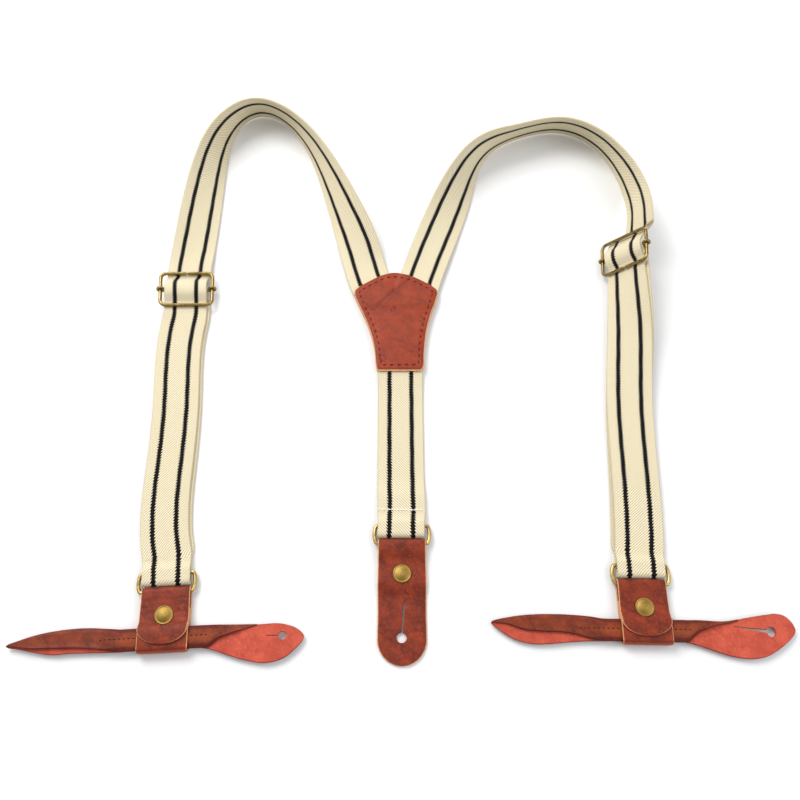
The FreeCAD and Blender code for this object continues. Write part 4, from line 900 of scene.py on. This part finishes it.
for side in ("left", "right"):
    leather_tab(side, tab_profile(), 7.5, 12.2, side + "_tab_body", side + "_tab", LEATHER)
low_r = 1.75
back_prof = [(-62.9, 0.78), (-56.0, 0.80), (-50.0, 0.75), (-40.0, 0.78), (-33.0, 0.80), (-29.0, 1.05), (-26.0, 1.85), (-23.8, 2.36), (-18.7, 2.44), (-13.8, 2.46), (-11.5, 2.8), (-8.0, 3.9), (-5.0, 4.37)]
back_prof += [(-3.1 + low_r * math.cos(math.radians(a)), 2.65 + low_r * math.sin(math.radians(a))) for a in np.linspace(90, -90, 13)]
back_prof += [(-5.0, 0.9), (-12.0, 0.9), (-18.0, 0.9), (-23.4, 0.9)]
leather_tab("back", back_prof, 12.4, 12.2, "back_tab_body", "back_tab", LEATHER, cuts=[keyhole(-0.2, -49.7, 2.5, (1.2, -32.2), 0.7)])


# --------------------------------------------------------------- button tabs
def outline_at(pts, x):
    P = np.array(pts, float)
    if P[0, 0] > P[-1, 0]:
        P = P[::-1]
    s = chord(P)
    q = np.linspace(0, s[-1], 500)
    D = hermite(s, P, q)
    return np.interp(x, D[:, 0], D[:, 1])


EARS = {
    "left": {
        "top": [(-75.9, -25.8), (-75.3, -25.1), (-74.0, -24.5), (-72.0, -23.9), (-63.1, -21.3), (-53.5, -19.7), (-44.4, -19.0), (-34.7, -19.1), (-27.0, -19.9), (-20.6, -20.5), (-13.5, -20.5), (0.0, -20.5), (13.5, -20.5),
                (20.8, -20.5), (28.0, -20.7), (45.3, -21.4), (58.8, -22.0), (64.6, -24.2), (67.2, -26.4), (68.0, -27.5), (68.2, -28.2)],
        "bottom": [(-75.9, -25.8), (-75.2, -26.3), (-74.0, -26.6), (-71.7, -27.0), (-63.3, -28.9), (-53.2, -30.8), (-45.4, -30.6), (-36.3, -30.8), (-26.8, -31.1), (-20.8, -31.2), (-13.5, -31.2), (0.0, -31.2), (13.5, -31.2),
                   (20.8, -31.6), (25.0, -32.8), (31.2, -35.2), (40.9, -38.3), (49.5, -39.8), (58.9, -37.6), (64.6, -33.2), (67.4, -30.2), (68.2, -28.2)],
        "lip": [(-75.6, -25.9), (-74.2, -26.0), (-63.1, -27.7), (-53.1, -28.0), (-38.3, -28.7), (-29.4, -29.8), (-24.0, -30.9), (-20.0, -31.2), (0.0, -31.2), (19.5, -31.2),
                (21.4, -31.3), (23.3, -30.2), (26.2, -27.8), (30.0, -26.1), (34.1, -24.8), (41.1, -23.0), (45.5, -21.9)],
        "holes": [(57.6, -27.4, 1.95, (50.0, -27.0))]},
    "right": {
        "top": [(-75.5, -23.1), (-75.0, -22.6), (-73.5, -22.0), (-71.1, -21.4), (-61.8, -19.7), (-44.6, -18.7), (-28.7, -19.4), (-20.6, -20.4), (-13.5, -20.5), (0.0, -20.5), (13.5, -20.5),
                (20.8, -20.5), (27.9, -20.5), (39.1, -20.7), (49.2, -19.0), (59.8, -17.2), (64.8, -16.6), (69.6, -17.9), (72.3, -21.0), (73.0, -23.0), (73.2, -24.3)],
        "bottom": [(-75.5, -23.1), (-75.0, -24.0), (-73.5, -25.2), (-71.3, -26.8), (-64.3, -31.0), (-56.5, -33.0), (-47.8, -33.0), (-38.5, -32.0), (-27.0, -31.3), (-20.8, -31.2), (-13.5, -31.2), (0.0, -31.2), (13.5, -31.2),
                   (20.8, -31.5), (25.0, -32.6), (31.2, -34.6), (41.3, -37.5), (50.1, -38.3), (56.2, -37.3), (64.7, -32.9), (70.4, -28.4), (72.6, -26.0), (73.2, -24.3)],
        "lip": [(-75.3, -23.3), (-73.8, -23.4), (-67.5, -24.0), (-60.3, -26.4), (-50.0, -27.3), (-37.6, -27.8), (-31.5, -29.2), (-25.5, -30.8), (-20.0, -31.2), (0.0, -31.2), (18.5, -31.2),
                (20.2, -30.8), (22.5, -29.0), (25.6, -26.5), (29.5, -24.7), (33.3, -23.2), (40.9, -21.8), (45.5, -20.6)],
        "holes": [(61.0, -25.4, 2.35, (43.4, -23.2))]},
}


def tip_to_tip(x0, x1, reach=3.2, step=0.55):
    xs = [x0 + reach * (1 - math.cos(t)) for t in np.linspace(0.06, math.pi / 2, 16)]
    xs += list(np.arange(xs[-1] + step, x1 - reach, step))
    xs += [x1 - reach * (1 - math.cos(t)) for t in np.linspace(math.pi / 2, 0.06, 16)]
    return np.array(xs)


def button_tab(side):
    S, data = RING[side], EARS[side]
    # ears: one layer of leather, flesh side up, drawn in to a tongue inside the roll
    xs = tip_to_tip(data["top"][0][0], data["top"][-1][0])
    yt, yb = outline_at(data["top"], xs), outline_at(data["bottom"], xs)
    inside = 1 - smooth(np.abs(xs), 15.6, 19.6)
    hw = np.maximum((yt - yb) / 2, 0.08)
    mid = (yt + yb) / 2
    hw = hw * (1 - inside) + 3.5 * inside
    mid = mid * (1 - inside) + (-25.85) * inside
    z = 2.3 + 0.55 * inside - 0.30 * smooth(np.abs(xs), 55.0, 76.0)
    C = at(S, np.stack([xs, mid, z], 1))
    E = np.tile(S[1] @ np.array([0, 1.0, 0]), (len(C), 1))
    def lift(lat, ss, sec):
        a = lat / np.maximum(hw[:, None], 0.1)
        x = np.broadcast_to(xs[:, None], lat.shape)
        far = smooth(x, 40, 52) * (1 - smooth(x, 66, 72))
        return 0.55 * far * np.maximum(0, a) ** 2 + 0.07 * np.sin(x * 0.33 + lat * 0.25) * smooth(np.abs(x), 24, 34)
    ob = slab(side + "_button_tab_ears", C, E, hw, 1.3, 0.40, FLESH, nu=48, na=5, full=0.0, lift=lift)
    cut(ob, [prism(side + "_ear_cutter%d" % i, S, keyhole(hx, hy, hr, sl, 0.3, 1.5 if side == "right" else 0.35), -2, 12, FLESH) for i, (hx, hy, hr, sl) in enumerate(data["holes"])])
    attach(ob, side + "_button_tab_body"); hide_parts(side + "_button_tab")

    # roll through the fold of the tab, running out as folded-over lips
    xs = tip_to_tip(data["lip"][0][0], data["lip"][-1][0], 2.4, 0.45)
    yt, yb = outline_at(data["top"], xs), outline_at(data["lip"], xs)
    yt = np.maximum(yt, yb + 0.1)
    roll = 1 - smooth(np.abs(xs), 20.0, 31.0)
    core = 1 - smooth(np.abs(xs), 19.0, 21.0)
    hw = (yt - yb) / 2 * (1 - core) + 5.4 * core
    mid = (yt + yb) / 2 * (1 - core) + (-25.85) * core
    T = 1.15 + 1.75 * roll
    tail = smooth(np.minimum(xs - xs[0], xs[-1] - xs), 0.0, 12.0)
    T = T * (0.45 + 0.55 * tail)
    z = 3.2 * roll + (2.98 + T / 2) * (1 - roll)
    C = at(S, np.stack([xs, mid, z], 1))
    E = np.tile(S[1] @ np.array([0, 1.0, 0]), (len(C), 1))
    r = (0.42 + 2.2 * roll)
    def lift2(lat, ss, sec):
        a = lat / np.maximum(hw[:, None], 0.1)
        top = (sec[None, :, 2] > 0)
        open_lip = smooth(np.abs(xs), 24.0, 34.0)[:, None]
        dome = 0.10 * (1 - a ** 2) * top * (1 - open_lip)
        turn = open_lip * (-0.55 * smooth(a, 0.55, 1.0) + 0.45 * np.exp(-((a + 1.0) / 0.35) ** 2)) * tail[:, None]
        return dome + turn + 0.04 * np.sin(ss * 0.7 + lat * 0.5) * open_lip
    # darkens both edges of the lip, the lower one more: painted shade along the lip edges
    def lip_edge_shade(V, lat, sec):
        a = lat / np.maximum(hw[:, None], 0.1)
        near = np.exp(-((a + 1.0) / 0.16) ** 2) * smooth(np.abs(xs), 19.0, 24.0)[:, None] * 0.9
        return near + 0.5 * np.exp(-((a - 1.0) / 0.10) ** 2)
    # lighter stripe along the crown of the roll: painted highlight
    def roll_highlight(V, lat, sec):
        a = lat / np.maximum(hw[:, None], 0.1)
        return 0.55 * np.exp(-((a + 0.05) / 0.38) ** 2) * (roll[:, None] * 0.8 + 0.2)
    ob = slab(side + "_button_tab_roll", C, E, hw, T, r, EAR_LEATHER, nu=52, na=7, full=0.0, lift=lift2, extra={"painted_shade": lip_edge_shade, "band": roll_highlight})
    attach(ob, side + "_button_tab_body"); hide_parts(side + "_button_tab")


button_tab("left")
button_tab("right")


# ---------------------------------------------------------------------- yoke
YOKE_LEFT = [(-12.1, 16.6), (-12.9, 17.4), (-13.5, 19.4), (-14.3, 26.3), (-15.2, 33.3), (-17.0, 41.0), (-19.6, 48.7), (-23.0, 57.2), (-26.2, 65.0), (-26.9, 67.2), (-26.8, 69.2), (-26.1, 70.8), (-25.0, 71.9), (-18.5, 76.4), (-11.4, 80.4), (-5.6, 82.3)]
YOKE_RIGHT = [(12.1, 17.1), (12.9, 17.9), (13.5, 19.9), (13.8, 26.3), (14.2, 31.8), (15.0, 39.3), (16.4, 47.0), (18.3, 54.5), (20.5, 60.9), (21.9, 66.0), (22.4, 67.8), (22.2, 69.6), (21.5, 71.0), (20.2, 72.2), (13.0, 77.0), (6.3, 80.4), (-1.0, 82.3)]


def side_at(pts, y):
    P = np.array(pts, float)
    s = chord(P)
    q = np.linspace(0, s[-1], 800)
    D = hermite(s, P, q)
    o = np.argsort(D[:, 1])
    return np.interp(y, D[o, 1], D[o, 0])


def strap_under(x, y):
    """1 where a strap lies between the panels, 0 between the straps."""
    left = np.abs((x + 15.6) * 0.97 + (y - 65.0) * 0.24)
    right = np.abs((x - 9.0) * 0.96 - (y - 65.0) * 0.28)
    a = (1 - smooth(left, 11.5, 14.5)) * smooth(y, 56, 61)
    b = (1 - smooth(right, 11.5, 14.5)) * smooth(y, 56, 61)
    c = (1 - smooth(np.abs(x - 0.3), 11.5, 14.5)) * (1 - smooth(y, 43, 49))
    return np.maximum(np.maximum(a, b), c)


def yoke_top(x, y):
    return 0.10 + 0.34 * strap_under(x, y) - 0.30 * (1 - strap_under(x, y)) * smooth(y, 40, 50) * (1 - smooth(y, 62, 72)) * 0.6


def yoke_panel(name, node, z, mat, front):
    ys = [16.35 + 0.9 * (1 - math.cos(t)) for t in np.linspace(0.0, math.pi / 2, 8)] + list(np.arange(17.6, 81.6, 0.45))
    ys += [82.4 - 0.7 * (1 - math.cos(t)) for t in np.linspace(math.pi / 2, 0.25, 7)]
    ys = np.array(ys)
    xl, xr = side_at(YOKE_LEFT, ys), side_at(YOKE_RIGHT, ys)
    grow = 0.0 if front else 0.0
    hw = (xr - xl) / 2 + grow
    C = np.stack([(xl + xr) / 2, ys, np.full(len(ys), z)], 1)
    E = np.tile(np.array([1.0, 0, 0]), (len(C), 1))
    def lift(lat, ss, sec):
        x = C[:, 0][:, None] + lat
        y = np.broadcast_to(C[:, 1][:, None], lat.shape)
        rimd = np.minimum(hw[:, None] - np.abs(lat), np.minimum(y - 16.4, 82.6 - y + np.abs(x) * 0.0))
        if front:
            stitch = np.minimum(rimd, 6.0)
            groove = -0.10 * np.exp(-((stitch - 3.0) / 0.55) ** 2)
            rest = yoke_top(x, y)
            run = [(8.6, 80.0), (2.4, 74.2), (-2.4, 70.0), (-7.1, 65.1), (-11.2, 60.9), (-17.5, 54.4)]
            off = (y - np.interp(x, [p[0] for p in run][::-1], [p[1] for p in run][::-1])) * 0.72
            rest = rest - (0.16 * np.exp(-(off / 1.0) ** 2) - 0.12 * np.exp(-((off - 2.4) / 1.4) ** 2)) * smooth(x, -17.0, -11.0) * (1 - smooth(x, 4.0, 8.5))
            return rest * smooth(rimd, -0.2, 2.2) + (groove - 0.10 * (1 - smooth(rimd, 0.0, 1.1))) * (sec[None, :, 2] > 0)
        return 0.0 * lat
    def painted_shade(V, lat, sec):
        x = C[:, 0][:, None] + lat
        y = np.broadcast_to(C[:, 1][:, None], lat.shape)
        # painted shade along one soft diagonal fold, with a finer shade line beside it
        run = [(8.6, 80.0), (2.4, 74.2), (-2.4, 70.0), (-7.1, 65.1), (-11.2, 60.9), (-17.5, 54.4)]
        q = np.interp(x, [p[0] for p in run][::-1], [p[1] for p in run][::-1])
        off = (y - q) * 0.72
        span = smooth(x, -17.0, -11.0) * (1 - smooth(x, 4.0, 8.5))
        d = (0.50 * np.exp(-((off + 0.6) / 1.9) ** 2) + 0.42 * np.exp(-(off / 0.55) ** 2)) * span
        q2 = np.interp(x, [-20.5, -16.5, -11.8, -7.0], [59.6, 63.0, 65.8, 69.5])
        d = d + 0.28 * np.exp(-(((y - q2) * 0.75) / 1.1) ** 2) * smooth(x, -20, -16) * (1 - smooth(x, -9, -6))
        return d * (sec[None, :, 2] > 0) if front else 0.0 * lat
    def edge(V, lat, sec):
        low = 1 - smooth(C[:, 1] - 16.35, 0.25, 0.75)
        return np.maximum(sec[None, :, 3], low[:, None])
    ob = slab(name, C, E, hw, LEA_T, 0.62, mat, nu=90, na=5, full=0.0, lift=lift, end_round=0.0, extra={"painted_shade": painted_shade, "edge": edge})
    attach(ob, "root"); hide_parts(node)
    return ob


yoke_panel("yoke_front_leather", "yoke_front_panel", 3.2 + LEA_T / 2, YOKE_LEATHER, True)
yoke_panel("yoke_back_leather", "yoke_back_panel", 0.06 + LEA_T / 2, YOKE_LEATHER, False)


# ------------------------------------------------------------------ stitches
def thread(S, marks, length, rad):
    """marks are (x, y, z, angle)."""
    parts = []
    for k, (x, y, z, a) in enumerate(marks):
        q = np.linspace(-1, 1, 11)
        ca, sa = math.cos(math.radians(a)), math.sin(math.radians(a))
        P = np.stack([x + q * length / 2 * ca, y + q * length / 2 * sa, z + 0.16 - 0.30 * q * q], 1)
        rr = rad * (0.80 + 0.20 * np.sqrt(np.maximum(0, 1 - q * q)))
        parts.append(tube("t", at(S, P), rr, None, seg=10, raw=True))
    return merge(parts)


def along(pts, pitch, inset, z):
    P = np.array(pts, float)
    s = chord(P)
    n = int(round(s[-1] / pitch))
    out = []
    for i in range(n):
        a, b = hermite(s, P, [s[-1] * (i + 0.2) / n, s[-1] * (i + 0.8) / n])
        d = (b - a) / np.linalg.norm(b - a)
        m = (a + b) / 2 + inset * np.array([-d[1], d[0]])
        out.append((m[0], m[1], z(m[0], m[1]), math.degrees(math.atan2(d[1], d[0]))))
    return out


zf = lambda x, y: 3.2 + LEA_T + 0.02 + float(yoke_top(np.array(x), np.array(y)))
outline = np.array([(x, y) for x, y in YOKE_LEFT] + [(x, y) for x, y in YOKE_RIGHT[::-1]] + [(YOKE_LEFT[0])], float)
so = chord(outline)
rim = np.stack([np.interp(np.arange(0, so[-1], 0.4), so, outline[:, i]) for i in range(2)], 1)
tn = np.roll(rim, -1, 0) - np.roll(rim, 1, 0)
tn /= np.linalg.norm(tn, axis=1)[:, None]
ins = rim + 3.0 * np.stack([tn[:, 1], -tn[:, 0]], 1)
keep_pts = [p for p in ins if np.min(np.linalg.norm(rim - p, axis=1)) > 2.93]
ins = np.array(keep_pts + keep_pts[:1])
si = chord(ins)
count = int(round(si[-1] / 4.15))
marks = []
for i in range(count):
    a, b = [np.array([np.interp((i + f) * si[-1] / count, si, ins[:, j]) for j in range(2)]) for f in (0.3, 0.7)]
    mpt = (a + b) / 2
    marks.append((mpt[0], mpt[1], zf(mpt[0], mpt[1]), math.degrees(math.atan2(b[1] - a[1], b[0] - a[0]))))
V, F, U = thread(FLAT, marks, 1.6, 0.27)
ob = mesh_from("yoke_thread", V, F, YOKE_THREAD, U)
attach(ob, "root"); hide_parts("yoke_stitching")

marks = [(-10.6 + 2.35 * i, -64.7 - 0.04 * i, 3.44, 0.0) for i in range(10)]
V, F, U = thread(FLAT, marks, 1.75, 0.30)
ob = mesh_from("back_strap_thread", V, F, LIGHT_THREAD, U)
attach(ob, "root"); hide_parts("back_strap_stitching")

for side, spots in (("left", (14.0, 16.3, 18.6, 20.9, -14.0, -16.3, -18.6, -20.9, -23.2, -25.5, -27.8, -30.1)), ("right", (14.0, 16.3, 18.6, 20.9, -14.0, -16.3, -18.6, -20.9, -23.2, -25.5, -27.8, -30.1, -32.0))):
    marks = []
    for x in spots:
        roll = 1 - float(smooth(abs(x), 20.0, 31.0))
        T = 1.15 + 1.75 * roll
        z = 3.2 * roll + (2.98 + T / 2) * (1 - roll)
        marks.append((x, -25.3, z + T / 2 + 0.10 * (1 - float(smooth(abs(x), 24.0, 34.0))) - 0.24, 3.0 * math.sin(x)))
    V, F, U = thread(RING[side], marks, 1.75, 0.25)
    ob = mesh_from(side + "_button_tab_thread", V, F, DARK_THREAD, U)
    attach(ob, side + "_button_tab_body"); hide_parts(side + "_button_tab_stitching")


# ----------------------------------------------------------- hidden CAD nodes
plain = {"webbing": WEB, "leather": LEATHER, "brass": BRASS, "antique_brass": ANTIQUE, "dark_thread": DARK_THREAD, "light_thread": LIGHT_THREAD}
slots = {x["node"]: x["material_slot"] for x in frame["record"]["subparts"]}
for name, o in frame["nodes"].items():
    o.data.materials.clear()
    o.data.materials.append(plain[slots[name]])

# --------------------------------------------------------------- floor, light
fl = Nodes("floor_paper")
tc = fl.t.nodes.new("ShaderNodeTexCoord")
fn = fl.noise(tc.outputs["Object"], 3.0, 2.0)
fl.put(fl.b, "Base Color", fl.mix(fn, (0.80, 0.80, 0.80, 1), (0.84, 0.84, 0.835, 1)))
fl.put(fl.b, "Roughness", 0.9)
fl.put(fl.b, "Specular IOR Level", 0.1)
me = bpy.data.meshes.new("floor")
g = 3.0
me.from_pydata([(-g, -g, 0), (g, -g, 0), (g, g, 0), (-g, g, 0)], [], [(0, 1, 2, 3)])
me.materials.append(fl.mat)
floor = bpy.data.objects.new("floor", me)
bpy.context.scene.collection.objects.link(floor)
floor.location = (0, 0, -0.0002)
floor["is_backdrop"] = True


def area(name, loc, target, size_xy, power, color=(1, 1, 1)):
    d = bpy.data.lights.new(name, "AREA")
    d.shape = "RECTANGLE"
    d.size, d.size_y = size_xy
    d.energy = power
    d.color = color
    o = bpy.data.objects.new(name, d)
    bpy.context.scene.collection.objects.link(o)
    o.location = loc
    from mathutils import Vector
    o.rotation_euler = (Vector(target) - Vector(loc)).to_track_quat("-Z", "Y").to_euler()
    return o


area("key", (-0.55, 0.55, 0.95), (0, 0, 0), (0.7, 0.7), 13.0, (1.0, 0.985, 0.965))
area("fill", (0.9, -0.25, 0.8), (0, 0, 0), (1.0, 1.0), 5.5, (0.97, 0.985, 1.0))
area("rim", (0.1, 1.1, 0.5), (0, 0.05, 0), (1.0, 0.35), 3.5)
scene = bpy.context.scene
w = bpy.data.worlds.new("studio")
w.use_nodes = True
bg = w.node_tree.nodes["Background"]
bg.inputs[0].default_value = (0.95, 0.965, 1.0, 1)
bg.inputs[1].default_value = 0.62
scene.world = w
scene.view_settings.view_transform = "Standard"
scene.view_settings.look = "None"
scene.view_settings.exposure = 0.0

cam = bpy.data.cameras.new("camera")
cam.lens = 36.0
cam.sensor_width = 36.0
cam.sensor_fit = "AUTO"
cam.clip_start = 0.01
cam.clip_end = 50
co = bpy.data.objects.new("camera", cam)
scene.collection.objects.link(co)
co.location = (-0.0012595, -0.2285725, 0.4035064)
co.rotation_euler = (math.radians(25.6), 0, 0)
scene.camera = co

SIZE_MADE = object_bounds()


def plain_list(b):
    if isinstance(b, dict):
        return {k: plain_list(v) for k, v in b.items()}
    if hasattr(b, "__len__") and not isinstance(b, str):
        return [plain_list(v) for v in b]
    return float(b) if isinstance(b, (int, float, np.floating)) else b


{"loaded": plain_list(SIZE_LOADED), "made": plain_list(SIZE_MADE)}
